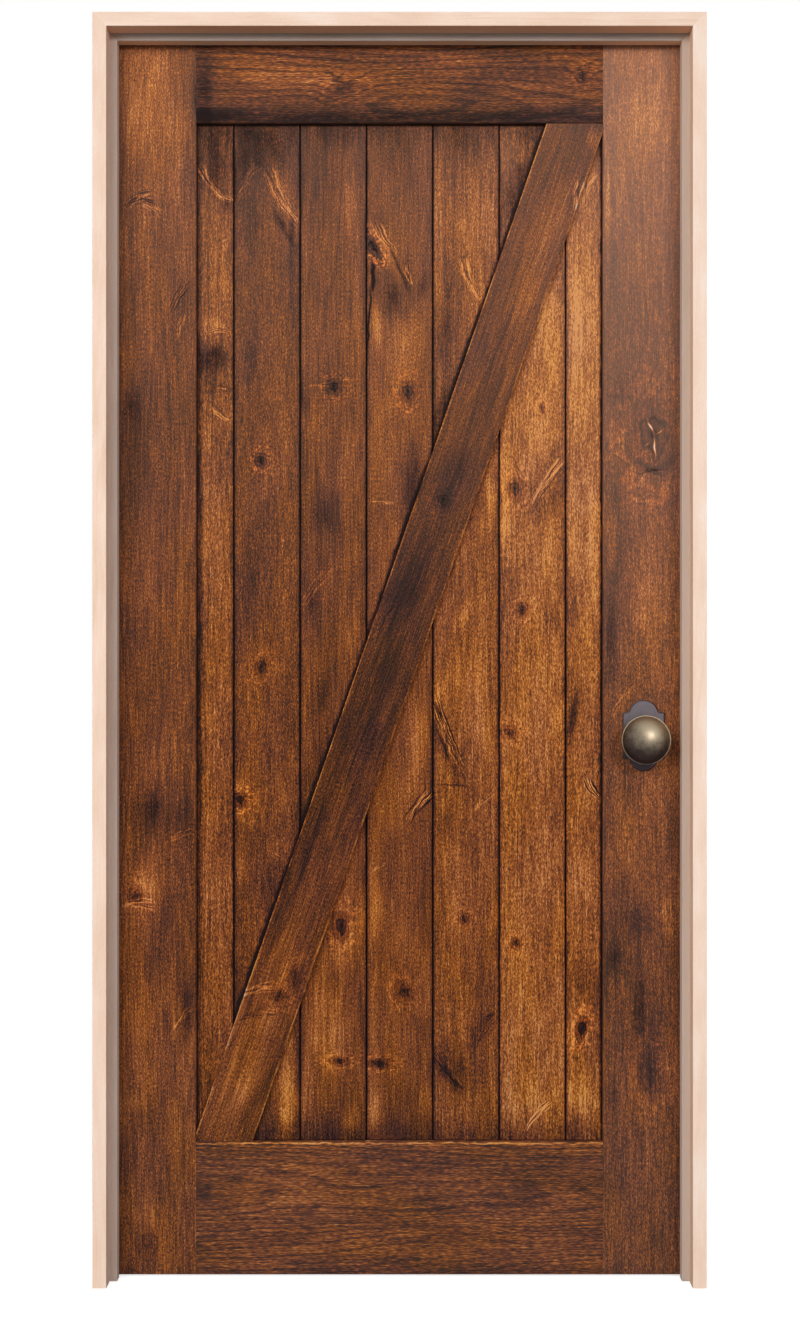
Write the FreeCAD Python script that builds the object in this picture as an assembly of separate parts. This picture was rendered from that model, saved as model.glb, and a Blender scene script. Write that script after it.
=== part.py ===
"""A framed and braced plank door, hung on butt hinges in a rebated-stop jamb.

The leaf is a stile and rail frame around seven upright tongued planks, with a diagonal brace let into
the recess on each face and a domed knob on a lobed rosette. The jamb is two legs and a head, mitred at
the corners, with a planted stop.

Millimetres. X runs across the doorway from the hinge jamb, Y through the wall with the swing side at +Y,
and Z up. The origin is on the outer face of the hinge jamb, at floor level and half way through the wall.
"""

import FreeCAD
import Part
import math
import os

# Leaf
LEAF_WIDTH = 914.0
LEAF_HEIGHT = 1981.0
LEAF_THICKNESS = 44.0
STILE_WIDTH = 130.0
TOP_RAIL_HEIGHT = 131.0
BOTTOM_RAIL_HEIGHT = 213.0
FRAME_CHAMFER = 1.5
LOCK_BEVEL_DEGREES = 3.0

# Planks, and the groove in the stiles and rails that holds them
PLANK_COUNT = 7
PLANK_COVER = 107.0
PLANK_THICKNESS = 19.0
PLANK_JOINT_GAP = 0.6
PLANK_CHAMFER = 1.3
TONGUE_THICKNESS = 6.0
TONGUE_LENGTH = 7.0
GROOVE_DEPTH = 10.0
SEAT_CLEARANCE = 0.2
END_CLEARANCE = 0.3

# Brace
BRACE_WIDTH = 90.0
BRACE_THICKNESS = 11.0
BRACE_TIP = 14.0
BRACE_CHAMFER = 1.5

# Jamb and stop
JAMB_THICKNESS = 22.0
JAMB_DEPTH = 116.0
STOP_THICKNESS = 12.0
STOP_WIDTH = 25.0
JAMB_EASING = 1.0
STOP_EASING = 1.5

# Running gaps round the leaf
EDGE_GAP = 5.0
STOP_GAP = 5.0
FLOOR_GAP = 3.0

# Butt hinges
HINGE_HEIGHT = 102.0
HINGE_TOP_OFFSET = 180.0
HINGE_BOTTOM_OFFSET = 280.0
HINGE_PLATE_DEPTH = 36.0
HINGE_PLATE_THICKNESS = 2.5
HINGE_CORNER_RADIUS = 6.0
KNUCKLE_COUNT = 5
KNUCKLE_RADIUS = 6.5
KNUCKLE_GAP = 0.4
KNUCKLE_STANDOFF = 0.6
PIN_RADIUS = 3.2
PIN_CLEARANCE = 0.1
PIN_TIP_RADIUS = 5.2
PIN_CROWN_RADIUS = 3.6
PIN_TIP_HEIGHT = 3.5

# Knob set
KNOB_HEIGHT = 860.0
BACKSET = 65.0
KNOB_RADIUS = 39.0
KNOB_DOME_HEIGHT = 24.0
KNOB_RIM = 2.4
KNOB_RIM_LIP = 1.0
KNOB_BACK_DEPTH = 17.0
THROAT_RADIUS = 14.0
NECK_RADIUS = 10.5
NECK_LENGTH = 9.8
NECK_FLARE = 4.0
KNOB_FOOT_RADIUS = 14.0
KNOB_FOOT_HEIGHT = 2.5
KNOB_FOOT_GAP = 0.3
SHANK_RADIUS = 10.0
SHANK_CLEARANCE = 0.2
SHANK_REACH = 8.0
SHANK_BORE_RADIUS = 13.0
SPINDLE_SIDE = 8.0
SPINDLE_CLEARANCE = 0.1
SOCKET_DEPTH = 22.0
ROSETTE_WIDTH = 67.0
ROSETTE_BODY_HEIGHT = 74.0
ROSETTE_LOBE_RADIUS = 24.0
ROSETTE_LOBE_RISE = 20.0
ROSETTE_LOBE_FILLET = 5.0
ROSETTE_THICKNESS = 5.0
ROSETTE_BEVEL = 1.8
ROSETTE_RISE = 6.0
COLLAR_RADIUS = 17.0
COLLAR_HEIGHT = 5.0
COLLAR_TAPER = 2.5

# Latch and strike
FACEPLATE_HEIGHT = 57.0
FACEPLATE_WIDTH = 25.0
PLATE_THICKNESS = 1.6
PLATE_CORNER_RADIUS = 4.0
BOLT_WIDTH = 12.0
BOLT_HEIGHT = 16.0
BOLT_LENGTH = 38.0
BOLT_BEVEL = 9.0
BOLT_NOSE = 2.0
BOLT_CLEARANCE = 0.3
STRIKE_HEIGHT = 70.0
STRIKE_WIDTH = 24.0
STRIKE_LIP_HEIGHT = 32.0
STRIKE_LIP_RADIUS = 5.0
STRIKE_LIP_CURL_DEGREES = 75.0
STRIKE_HOLE_MARGIN = 2.0
STRIKE_POCKET_DEPTH = 15.0

# Places across the doorway
HINGE_FACE = JAMB_THICKNESS
LEAF_LEFT = HINGE_FACE + EDGE_GAP
LEAF_RIGHT = LEAF_LEFT + LEAF_WIDTH
STRIKE_FACE = LEAF_RIGHT + EDGE_GAP
FRAME_RIGHT = STRIKE_FACE + JAMB_THICKNESS
PANEL_LEFT = LEAF_LEFT + STILE_WIDTH
PANEL_RIGHT = LEAF_RIGHT - STILE_WIDTH
KNOB_X = LEAF_RIGHT - BACKSET

# Places through the wall
FRAME_FRONT = -JAMB_DEPTH / 2
FRAME_BACK = JAMB_DEPTH / 2
LEAF_BACK = FRAME_BACK
LEAF_FRONT = LEAF_BACK - LEAF_THICKNESS
LEAF_MIDDLE = LEAF_BACK - LEAF_THICKNESS / 2
STOP_BACK = LEAF_FRONT - STOP_GAP
STOP_FRONT = STOP_BACK - STOP_WIDTH
PLANK_FRONT = LEAF_MIDDLE - PLANK_THICKNESS / 2
PLANK_BACK = LEAF_MIDDLE + PLANK_THICKNESS / 2

# Places up the doorway
LEAF_BOTTOM = FLOOR_GAP
LEAF_TOP = LEAF_BOTTOM + LEAF_HEIGHT
HEAD_FACE = LEAF_TOP + EDGE_GAP
FRAME_TOP = HEAD_FACE + JAMB_THICKNESS
PANEL_BOTTOM = LEAF_BOTTOM + BOTTOM_RAIL_HEIGHT
PANEL_TOP = LEAF_TOP - TOP_RAIL_HEIGHT
KNOB_Z = LEAF_BOTTOM + KNOB_HEIGHT
HINGE_CENTRES = {
    "top": LEAF_TOP - HINGE_TOP_OFFSET - HINGE_HEIGHT / 2,
    "middle": (LEAF_TOP - HINGE_TOP_OFFSET + LEAF_BOTTOM + HINGE_BOTTOM_OFFSET) / 2,
    "bottom": LEAF_BOTTOM + HINGE_BOTTOM_OFFSET + HINGE_HEIGHT / 2,
}

# Hinge axis, half way across the running gap and clear of the swing face
PIVOT_X = HINGE_FACE + EDGE_GAP / 2
PIVOT_Y = FRAME_BACK + KNUCKLE_RADIUS + KNUCKLE_STANDOFF

ALONG_X = FreeCAD.Vector(1, 0, 0)
ALONG_Y = FreeCAD.Vector(0, 1, 0)
ALONG_Z = FreeCAD.Vector(0, 0, 1)
NEAR = 0.001


# Helpers


def block(low, high):
    """A box between two opposite corners."""
    size = [b - a for a, b in zip(low, high)]
    return Part.makeBox(*size, FreeCAD.Vector(*low))


def elevation_prism(points, y_low, y_high):
    """A prism whose outline is drawn in X and Z, running through the wall from y_low to y_high."""
    corners = [FreeCAD.Vector(x, y_low, z) for x, z in points]
    face = Part.Face(Part.makePolygon(corners + corners[:1]))
    return face.extrude(ALONG_Y * (y_high - y_low))


def plan_prism(points, z_low, z_high):
    """A prism whose outline is drawn in X and Y, standing from z_low to z_high."""
    corners = [FreeCAD.Vector(x, y, z_low) for x, y in points]
    face = Part.Face(Part.makePolygon(corners + corners[:1]))
    return face.extrude(ALONG_Z * (z_high - z_low))


def straight_along(edge, direction):
    """Whether an edge is a straight line along a direction."""
    if not isinstance(edge.Curve, Part.Line):
        return False
    run = edge.Vertexes[-1].Point - edge.Vertexes[0].Point
    return run.cross(direction).Length < NEAR * run.Length


def edges_at(shape, direction, **place):
    """The straight edges along a direction whose middle lies at the coordinates in place."""
    return [
        edge
        for edge in shape.Edges
        if straight_along(edge, direction)
        and all(abs(getattr(edge.CenterOfMass, axis) - value) < NEAR for axis, value in place.items())
    ]


def rounded_plate(low, high, radius, direction):
    """A thin box whose four corner edges along a direction are rounded."""
    plate = block(low, high)
    return plate.makeFillet(radius, edges_at(plate, direction))


# Jamb and stop


def jamb_leg(outer, inner):
    """One upright of the jamb, mitred to the head, with the arrises of its inner face eased."""
    outline = [(outer, 0), (inner, 0), (inner, HEAD_FACE), (outer, FRAME_TOP)]
    leg = elevation_prism(outline, FRAME_FRONT, FRAME_BACK)
    return leg.makeFillet(JAMB_EASING, edges_at(leg, ALONG_Z, x=inner))


def head_jamb():
    """The head of the jamb, mitred between the two legs."""
    outline = [
        (0, FRAME_TOP),
        (HINGE_FACE, HEAD_FACE),
        (STRIKE_FACE, HEAD_FACE),
        (FRAME_RIGHT, FRAME_TOP),
    ]
    head = elevation_prism(outline, FRAME_FRONT, FRAME_BACK)
    return head.makeFillet(JAMB_EASING, edges_at(head, ALONG_X, z=HEAD_FACE))


def stop_leg(face, inner):
    """One upright of the planted stop, mitred at the head, with its room side eased."""
    outline = [(face, 0), (inner, 0), (inner, HEAD_FACE - STOP_THICKNESS), (face, HEAD_FACE)]
    leg = elevation_prism(outline, STOP_FRONT, STOP_BACK)
    return leg.makeFillet(STOP_EASING, edges_at(leg, ALONG_Z, x=inner, y=STOP_FRONT))


def head_stop():
    """The stop along the head, mitred to the two uprights."""
    low = HEAD_FACE - STOP_THICKNESS
    outline = [
        (HINGE_FACE, HEAD_FACE),
        (HINGE_FACE + STOP_THICKNESS, low),
        (STRIKE_FACE - STOP_THICKNESS, low),
        (STRIKE_FACE, HEAD_FACE),
    ]
    stop = elevation_prism(outline, STOP_FRONT, STOP_BACK)
    return stop.makeFillet(STOP_EASING, edges_at(stop, ALONG_X, y=STOP_FRONT, z=low))


# Stiles and rails


def lock_edge(y):
    """Where the lock edge lies at a depth: bevelled, so that it clears the jamb as the leaf swings."""
    return LEAF_RIGHT - (LEAF_BACK - y) * math.tan(math.radians(LOCK_BEVEL_DEGREES))


def stile(front_edge, back_edge, inner):
    """An upright of the leaf: grooved for the planks, with the arrises beside the panel chamfered."""
    section = [(front_edge, LEAF_FRONT), (inner, LEAF_FRONT), (inner, LEAF_BACK), (back_edge, LEAF_BACK)]
    body = plan_prism(section, LEAF_BOTTOM, LEAF_TOP)
    outer_arrises = edges_at(body, ALONG_Z, x=front_edge, y=LEAF_FRONT)
    outer_arrises += edges_at(body, ALONG_Z, x=back_edge, y=LEAF_BACK)
    body = body.makeFillet(FRAME_CHAMFER, outer_arrises)
    inward = math.copysign(1, inner - back_edge)
    groove_floor = inner - inward * GROOVE_DEPTH
    groove = block(
        (min(groove_floor, inner), PLANK_FRONT - SEAT_CLEARANCE, LEAF_BOTTOM),
        (max(groove_floor, inner), PLANK_BACK + SEAT_CLEARANCE, LEAF_TOP),
    )
    body = body.cut(groove)
    for face, into in ((LEAF_FRONT, 1), (LEAF_BACK, -1)):
        corner = [
            (inner, face),
            (inner - inward * FRAME_CHAMFER, face),
            (inner, face + into * FRAME_CHAMFER),
        ]
        body = body.cut(plan_prism(corner, PANEL_BOTTOM, PANEL_TOP))
    return body


def rail(outer, inner):
    """A cross rail: grooved for the planks, with a stub tenon at each end that fills the stile groove."""
    inward = math.copysign(1, inner - outer)
    groove_floor = inner - inward * GROOVE_DEPTH
    low, high = min(outer, inner), max(outer, inner)
    body = block((PANEL_LEFT, LEAF_FRONT, low), (PANEL_RIGHT, LEAF_BACK, high))
    reach = GROOVE_DEPTH - END_CLEARANCE
    tenon = block(
        (PANEL_LEFT - reach, PLANK_FRONT, min(outer, groove_floor)),
        (PANEL_RIGHT + reach, PLANK_BACK, max(outer, groove_floor)),
    )
    groove = block(
        (PANEL_LEFT, PLANK_FRONT - SEAT_CLEARANCE, min(groove_floor, inner)),
        (PANEL_RIGHT, PLANK_BACK + SEAT_CLEARANCE, max(groove_floor, inner)),
    )
    body = body.fuse(tenon).removeSplitter().cut(groove)
    arrises = edges_at(body, ALONG_X, y=LEAF_FRONT, z=inner)
    arrises += edges_at(body, ALONG_X, y=LEAF_BACK, z=inner)
    return body.makeChamfer(FRAME_CHAMFER, arrises)


# Planks


def plank_joints():
    """The lines between planks: whole planks in the middle, and an equal ripped plank at each side."""
    whole = PLANK_COUNT - 2
    ripped = (PANEL_RIGHT - PANEL_LEFT - whole * PLANK_COVER) / 2
    return [PANEL_LEFT + ripped + index * PLANK_COVER for index in range(whole + 1)]


def plank(left, right, grooved, tongued):
    """One upright plank between two joint lines, with chamfered arrises and its tongue or groove."""
    half = PLANK_THICKNESS / 2
    cut = PLANK_CHAMFER
    outline = [
        (left + cut, LEAF_MIDDLE - half),
        (right - cut, LEAF_MIDDLE - half),
        (right, LEAF_MIDDLE - half + cut),
        (right, LEAF_MIDDLE + half - cut),
        (right - cut, LEAF_MIDDLE + half),
        (left + cut, LEAF_MIDDLE + half),
        (left, LEAF_MIDDLE + half - cut),
        (left, LEAF_MIDDLE - half + cut),
    ]
    seat = GROOVE_DEPTH - END_CLEARANCE
    low, high = PANEL_BOTTOM - seat, PANEL_TOP + seat
    board = plan_prism(outline, low, high)
    tongue_half = TONGUE_THICKNESS / 2
    if tongued:
        tip = right + TONGUE_LENGTH
        tongue = block((right, LEAF_MIDDLE - tongue_half, low), (tip, LEAF_MIDDLE + tongue_half, high))
        board = board.fuse(tongue).removeSplitter()
    if grooved:
        slot_half = tongue_half + SEAT_CLEARANCE
        floor = left + TONGUE_LENGTH - PLANK_JOINT_GAP + END_CLEARANCE
        slot = block((left, LEAF_MIDDLE - slot_half, low), (floor, LEAF_MIDDLE + slot_half, high))
        board = board.cut(slot)
    return board


def planks():
    """All the planks, from the hinge stile to the lock stile."""
    seat = GROOVE_DEPTH - END_CLEARANCE
    half_gap = PLANK_JOINT_GAP / 2
    joints = plank_joints()
    lefts = [PANEL_LEFT - seat] + [joint + half_gap for joint in joints]
    rights = [joint - half_gap for joint in joints] + [PANEL_RIGHT + seat]
    last = len(lefts) - 1
    return {
        f"plank_{index + 1}": plank(left, right, grooved=index > 0, tongued=index < last)
        for index, (left, right) in enumerate(zip(lefts, rights))
    }


# Braces


def brace_outline():
    """The brace from the low hinge corner to the high lock corner, its feather tips cut by the stiles."""
    half_width = (PANEL_RIGHT - PANEL_LEFT) / 2 - END_CLEARANCE
    half_height = (PANEL_TOP - PANEL_BOTTOM) / 2 - END_CLEARANCE
    to_tip = math.hypot(half_width, half_height - BRACE_TIP)
    lean = math.acos(BRACE_WIDTH / 2 / to_tip) - math.atan2(half_height - BRACE_TIP, half_width)
    shoulder = (half_height * math.sin(lean) - BRACE_WIDTH / 2) / math.cos(lean)
    half = [(-half_width, -half_height), (-shoulder, -half_height), (half_width, half_height - BRACE_TIP)]
    middle_x = (PANEL_LEFT + PANEL_RIGHT) / 2
    middle_z = (PANEL_BOTTOM + PANEL_TOP) / 2
    return [(middle_x + sign * x, middle_z + sign * z) for sign in (1, -1) for x, z in half]


def brace(seat, outward):
    """A brace bedded on the planks, with the long arrises of its show face chamfered."""
    show = seat + outward * BRACE_THICKNESS
    board = elevation_prism(brace_outline(), min(seat, show), max(seat, show))
    length = max(edge.Length for edge in board.Edges)
    long_arrises = [
        edge
        for edge in board.Edges
        if abs(edge.CenterOfMass.y - show) < NEAR and abs(edge.Length - length) < NEAR
    ]
    return board.makeChamfer(BRACE_CHAMFER, long_arrises)


# Hinges


def hinge_plate_blank(fixed_edge, inward, centre, clearance):
    """The flat of one hinge plate, let into the wood at fixed_edge, grown all round by a clearance."""
    half = HINGE_HEIGHT / 2 + clearance
    floor = fixed_edge + inward * HINGE_PLATE_THICKNESS
    front = FRAME_BACK - HINGE_PLATE_DEPTH - clearance
    flat = block(
        (min(fixed_edge, floor), front, centre - half),
        (max(fixed_edge, floor), FRAME_BACK, centre + half),
    )
    far_corners = [edge for edge in edges_at(flat, ALONG_X) if abs(edge.CenterOfMass.y - front) < NEAR]
    return flat.makeFillet(HINGE_CORNER_RADIUS + clearance, far_corners)


def hinge_plate(fixed_edge, inward, centre, first_knuckle):
    """One plate of a butt hinge with every second knuckle, starting from first_knuckle."""
    plate = hinge_plate_blank(fixed_edge, inward, centre, 0)
    pitch = HINGE_HEIGHT / KNUCKLE_COUNT
    floor = fixed_edge + inward * HINGE_PLATE_THICKNESS
    bottom = centre - HINGE_HEIGHT / 2
    bore = Part.makeCylinder(
        PIN_RADIUS + PIN_CLEARANCE, HINGE_HEIGHT, FreeCAD.Vector(PIVOT_X, PIVOT_Y, bottom), ALONG_Z
    )
    for index in range(first_knuckle, KNUCKLE_COUNT, 2):
        low = bottom + index * pitch + (KNUCKLE_GAP / 2 if index else 0)
        high = bottom + (index + 1) * pitch - (KNUCKLE_GAP / 2 if index < KNUCKLE_COUNT - 1 else 0)
        neck = block((min(fixed_edge, floor), FRAME_BACK, low), (max(fixed_edge, floor), PIVOT_Y, high))
        barrel_foot = FreeCAD.Vector(PIVOT_X, PIVOT_Y, low)
        barrel = Part.makeCylinder(KNUCKLE_RADIUS, high - low, barrel_foot, ALONG_Z)
        plate = plate.fuse(neck.fuse(barrel))
    return plate.cut(bore).removeSplitter()


def hinge_pin(centre):
    """The loose pin of one hinge, with a tapered button above and below the knuckles."""
    half = HINGE_HEIGHT / 2
    tip = half + PIN_TIP_HEIGHT
    places = [
        (0, -tip),
        (PIN_CROWN_RADIUS, -tip),
        (PIN_TIP_RADIUS, -half),
        (PIN_RADIUS, -half),
        (PIN_RADIUS, half),
        (PIN_TIP_RADIUS, half),
        (PIN_CROWN_RADIUS, tip),
        (0, tip),
    ]
    outline = [FreeCAD.Vector(PIVOT_X + r, PIVOT_Y, centre + z) for r, z in places]
    face = Part.Face(Part.makePolygon(outline + outline[:1]))
    return face.revolve(FreeCAD.Vector(PIVOT_X, PIVOT_Y, 0), ALONG_Z, 360)


# Knob set


def turned(profile, face, outward):
    """A piece turned about the spindle. The profile is a wire of radius in X and height in Y."""
    solid = Part.Face(profile).revolve(FreeCAD.Vector(0, 0, 0), ALONG_Y, 360)
    if outward < 0:
        solid = solid.mirror(FreeCAD.Vector(0, 0, 0), ALONG_Y)
    solid.translate(FreeCAD.Vector(KNOB_X, face, KNOB_Z))
    return solid


def line(start, end):
    """A straight run of a turned profile, from one radius and height to another."""
    return Part.LineSegment(FreeCAD.Vector(*start, 0), FreeCAD.Vector(*end, 0)).toShape()


def polyline(points):
    """Straight runs of a turned profile through several points."""
    return [line(start, end) for start, end in zip(points, points[1:])]


def turned_ring(outer_radius, height, top_radius):
    """A plain turned plug: its side upright to the rosette's face and then tapering to top_radius."""
    points = [
        (0, 0),
        (outer_radius, 0),
        (outer_radius, ROSETTE_THICKNESS),
        (top_radius, height),
        (0, height),
    ]
    return Part.Wire(polyline(points + points[:1]))


def rosette(face, outward):
    """The plate behind the knob: a square body, a lobe above and below, and a collar for the shank."""
    half_width = ROSETTE_WIDTH / 2
    half_height = ROSETTE_BODY_HEIGHT / 2
    lobe_drop = ROSETTE_LOBE_RADIUS - ROSETTE_LOBE_RISE
    centre_z = KNOB_Z + ROSETTE_RISE
    body = block(
        (KNOB_X - half_width, 0, centre_z - half_height),
        (KNOB_X + half_width, ROSETTE_THICKNESS, centre_z + half_height),
    )
    for side in (1, -1):
        lobe_z = centre_z + side * (half_height - lobe_drop)
        lobe = Part.makeCylinder(
            ROSETTE_LOBE_RADIUS, ROSETTE_THICKNESS, FreeCAD.Vector(KNOB_X, 0, lobe_z), ALONG_Y
        )
        body = body.fuse(lobe)
    body = body.removeSplitter()
    shoulder = math.sqrt(ROSETTE_LOBE_RADIUS**2 - lobe_drop**2)
    inner_corners = [
        edge
        for edge in edges_at(body, ALONG_Y)
        if abs(abs(edge.CenterOfMass.x - KNOB_X) - shoulder) < NEAR
    ]
    body = body.makeFillet(ROSETTE_LOBE_FILLET, inner_corners)
    rim = [edge for edge in body.Edges if abs(edge.BoundBox.YMin - ROSETTE_THICKNESS) < NEAR]
    body = body.makeChamfer(ROSETTE_BEVEL, rim)
    if outward < 0:
        body = body.mirror(FreeCAD.Vector(0, 0, 0), ALONG_Y)
    body.translate(ALONG_Y * face)
    collar_top = ROSETTE_THICKNESS + COLLAR_HEIGHT
    hole_radius = SHANK_RADIUS + SHANK_CLEARANCE
    collar = turned(turned_ring(COLLAR_RADIUS, collar_top, COLLAR_RADIUS - COLLAR_TAPER), face, outward)
    hole = turned(turned_ring(hole_radius, collar_top, hole_radius), face, outward)
    return body.fuse(collar).cut(hole).removeSplitter()


def ball_arc(start, end):
    """A round run of a turned profile, centred on the axis, so that it turns to part of a ball."""
    (near_radius, near_height), (far_radius, far_height) = start, end
    difference = near_radius**2 + near_height**2 - far_radius**2 - far_height**2
    centre = difference / (2 * (near_height - far_height))
    radius = math.hypot(near_radius, near_height - centre)
    angles = [math.atan2(height - centre, across) for across, height in (start, end)]
    turn = sum(angles) / 2
    middle = (radius * math.cos(turn), centre + radius * math.sin(turn))
    return Part.Arc(*(FreeCAD.Vector(*point, 0) for point in (start, middle, end))).toShape()


def knob_profile():
    """Half the section of a knob: shank, foot, flared neck, rounded back, narrow rim and domed face."""
    foot = ROSETTE_THICKNESS + COLLAR_HEIGHT + KNOB_FOOT_GAP
    foot_top = foot + KNOB_FOOT_HEIGHT
    throat = foot_top + NECK_LENGTH
    rim_base = throat + KNOB_BACK_DEPTH
    rim_top = rim_base + KNOB_RIM
    inside_rim = KNOB_RADIUS - KNOB_RIM_LIP
    stem = [
        (0, rim_top + KNOB_DOME_HEIGHT),
        (0, -SHANK_REACH),
        (SHANK_RADIUS, -SHANK_REACH),
        (SHANK_RADIUS, foot),
        (KNOB_FOOT_RADIUS, foot),
        (KNOB_FOOT_RADIUS, foot_top),
        (NECK_RADIUS, foot_top),
        (NECK_RADIUS, throat - NECK_FLARE),
        (THROAT_RADIUS, throat),
    ]
    rim = [
        (inside_rim, rim_base),
        (KNOB_RADIUS, rim_base),
        (KNOB_RADIUS, rim_top),
        (inside_rim, rim_top),
    ]
    back, dome = ball_arc(stem[-1], rim[0]), ball_arc(rim[-1], stem[0])
    return Part.Wire(polyline(stem) + [back] + polyline(rim) + [dome])


def knob(face, outward):
    """A domed knob on its necked shank, with a square socket for the spindle."""
    ball = turned(knob_profile(), face, outward)
    half = SPINDLE_SIDE / 2 + SPINDLE_CLEARANCE
    mouth = face - outward * SHANK_REACH
    ends = sorted((mouth, mouth + outward * SOCKET_DEPTH))
    socket = block((KNOB_X - half, ends[0], KNOB_Z - half), (KNOB_X + half, ends[1], KNOB_Z + half))
    return ball.cut(socket)


def spindle():
    """The square bar that joins the two knobs through the lock stile."""
    half = SPINDLE_SIDE / 2
    overlap = SOCKET_DEPTH - SHANK_REACH - END_CLEARANCE
    return block(
        (KNOB_X - half, LEAF_FRONT - overlap, KNOB_Z - half),
        (KNOB_X + half, LEAF_BACK + overlap, KNOB_Z + half),
    )


# Latch and strike


def bolt_slot(x_low, x_high, margin):
    """A square-cornered slot round the latch bolt, grown by a margin."""
    half_width = BOLT_WIDTH / 2 + margin
    half_height = BOLT_HEIGHT / 2 + margin
    return block(
        (x_low, LEAF_MIDDLE - half_width, KNOB_Z - half_height),
        (x_high, LEAF_MIDDLE + half_width, KNOB_Z + half_height),
    )


def latch_faceplate_blank(clearance):
    """The outline of the latch faceplate in the lock edge, grown by a clearance."""
    half_width = FACEPLATE_WIDTH / 2 + clearance
    half_height = FACEPLATE_HEIGHT / 2 + clearance
    flat = rounded_plate(
        (LEAF_RIGHT - PLATE_THICKNESS, LEAF_MIDDLE - half_width, KNOB_Z - half_height),
        (LEAF_RIGHT, LEAF_MIDDLE + half_width, KNOB_Z + half_height),
        PLATE_CORNER_RADIUS + clearance,
        ALONG_X,
    )
    flat.rotate(FreeCAD.Vector(LEAF_RIGHT, LEAF_BACK, KNOB_Z), ALONG_Z, -LOCK_BEVEL_DEGREES)
    return flat


def latch_faceplate():
    """The plate on the lock edge, lying along its bevel, with the bolt's hole through it."""
    hole = bolt_slot(LEAF_RIGHT - BOLT_LENGTH, LEAF_RIGHT, BOLT_CLEARANCE)
    return latch_faceplate_blank(0).cut(hole)


def latch_bolt():
    """The spring bolt, drawn back flush with its faceplate, its nose bevelled to ride over the strike."""
    low, high = LEAF_MIDDLE - BOLT_WIDTH / 2, LEAF_MIDDLE + BOLT_WIDTH / 2
    heel = LEAF_RIGHT - BOLT_LENGTH
    nose = lock_edge(high - BOLT_NOSE)
    outline = [
        (heel, low),
        (nose - BOLT_BEVEL, low),
        (nose, high - BOLT_NOSE),
        (nose, high),
        (heel, high),
    ]
    return plan_prism(outline, KNOB_Z - BOLT_HEIGHT / 2, KNOB_Z + BOLT_HEIGHT / 2)


def strike_blank(clearance):
    """The flat of the strike plate and its lip in the jamb face, grown by a clearance."""
    floor = STRIKE_FACE + PLATE_THICKNESS
    half_height = STRIKE_HEIGHT / 2 + clearance
    half_lip = STRIKE_LIP_HEIGHT / 2 + clearance
    half_width = STRIKE_WIDTH / 2 + clearance
    flat = rounded_plate(
        (STRIKE_FACE, LEAF_MIDDLE - half_width, KNOB_Z - half_height),
        (floor, LEAF_MIDDLE + half_width, KNOB_Z + half_height),
        PLATE_CORNER_RADIUS + clearance,
        ALONG_X,
    )
    lip = block((STRIKE_FACE, LEAF_MIDDLE, KNOB_Z - half_lip), (floor, FRAME_BACK, KNOB_Z + half_lip))
    return flat.fuse(lip).removeSplitter()


def strike_plate():
    """The strike plate: a holed flat in the jamb face whose lip curls round the swing edge."""
    hole = bolt_slot(STRIKE_FACE, STRIKE_FACE + PLATE_THICKNESS, STRIKE_HOLE_MARGIN)
    flat = strike_blank(0).cut(hole)
    half_lip = STRIKE_LIP_HEIGHT / 2
    section = [
        FreeCAD.Vector(STRIKE_FACE, FRAME_BACK, KNOB_Z - half_lip),
        FreeCAD.Vector(STRIKE_FACE + PLATE_THICKNESS, FRAME_BACK, KNOB_Z - half_lip),
        FreeCAD.Vector(STRIKE_FACE + PLATE_THICKNESS, FRAME_BACK, KNOB_Z + half_lip),
        FreeCAD.Vector(STRIKE_FACE, FRAME_BACK, KNOB_Z + half_lip),
    ]
    face = Part.Face(Part.makePolygon(section + section[:1]))
    centre = FreeCAD.Vector(STRIKE_FACE + STRIKE_LIP_RADIUS, FRAME_BACK, KNOB_Z)
    curl = face.revolve(centre, -ALONG_Z, STRIKE_LIP_CURL_DEGREES)
    return flat.fuse(curl).removeSplitter()


# Assembly


def hung_jamb():
    """The hinge jamb with the three plate mortises cut in its inner face."""
    leg = jamb_leg(0, HINGE_FACE)
    for centre in HINGE_CENTRES.values():
        leg = leg.cut(hinge_plate_blank(HINGE_FACE, -1, centre, SEAT_CLEARANCE))
    return leg


def struck_jamb():
    """The strike jamb with the strike's mortise and the pocket that takes the bolt."""
    leg = jamb_leg(FRAME_RIGHT, STRIKE_FACE)
    leg = leg.cut(strike_blank(SEAT_CLEARANCE))
    return leg.cut(bolt_slot(STRIKE_FACE, STRIKE_FACE + STRIKE_POCKET_DEPTH, STRIKE_HOLE_MARGIN))


def hung_stile():
    """The hinge stile with the three plate mortises cut in its edge."""
    body = stile(LEAF_LEFT, LEAF_LEFT, PANEL_LEFT)
    for centre in HINGE_CENTRES.values():
        body = body.cut(hinge_plate_blank(LEAF_LEFT, 1, centre, SEAT_CLEARANCE))
    return body


def lock_stile():
    """The lock stile, bored for the knob shanks and mortised for the latch."""
    body = stile(lock_edge(LEAF_FRONT), lock_edge(LEAF_BACK), PANEL_RIGHT)
    start = FreeCAD.Vector(KNOB_X, LEAF_FRONT, KNOB_Z)
    body = body.cut(Part.makeCylinder(SHANK_BORE_RADIUS, LEAF_THICKNESS, start, ALONG_Y))
    body = body.cut(latch_faceplate_blank(SEAT_CLEARANCE))
    return body.cut(bolt_slot(LEAF_RIGHT - BOLT_LENGTH, LEAF_RIGHT, BOLT_CLEARANCE))


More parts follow.
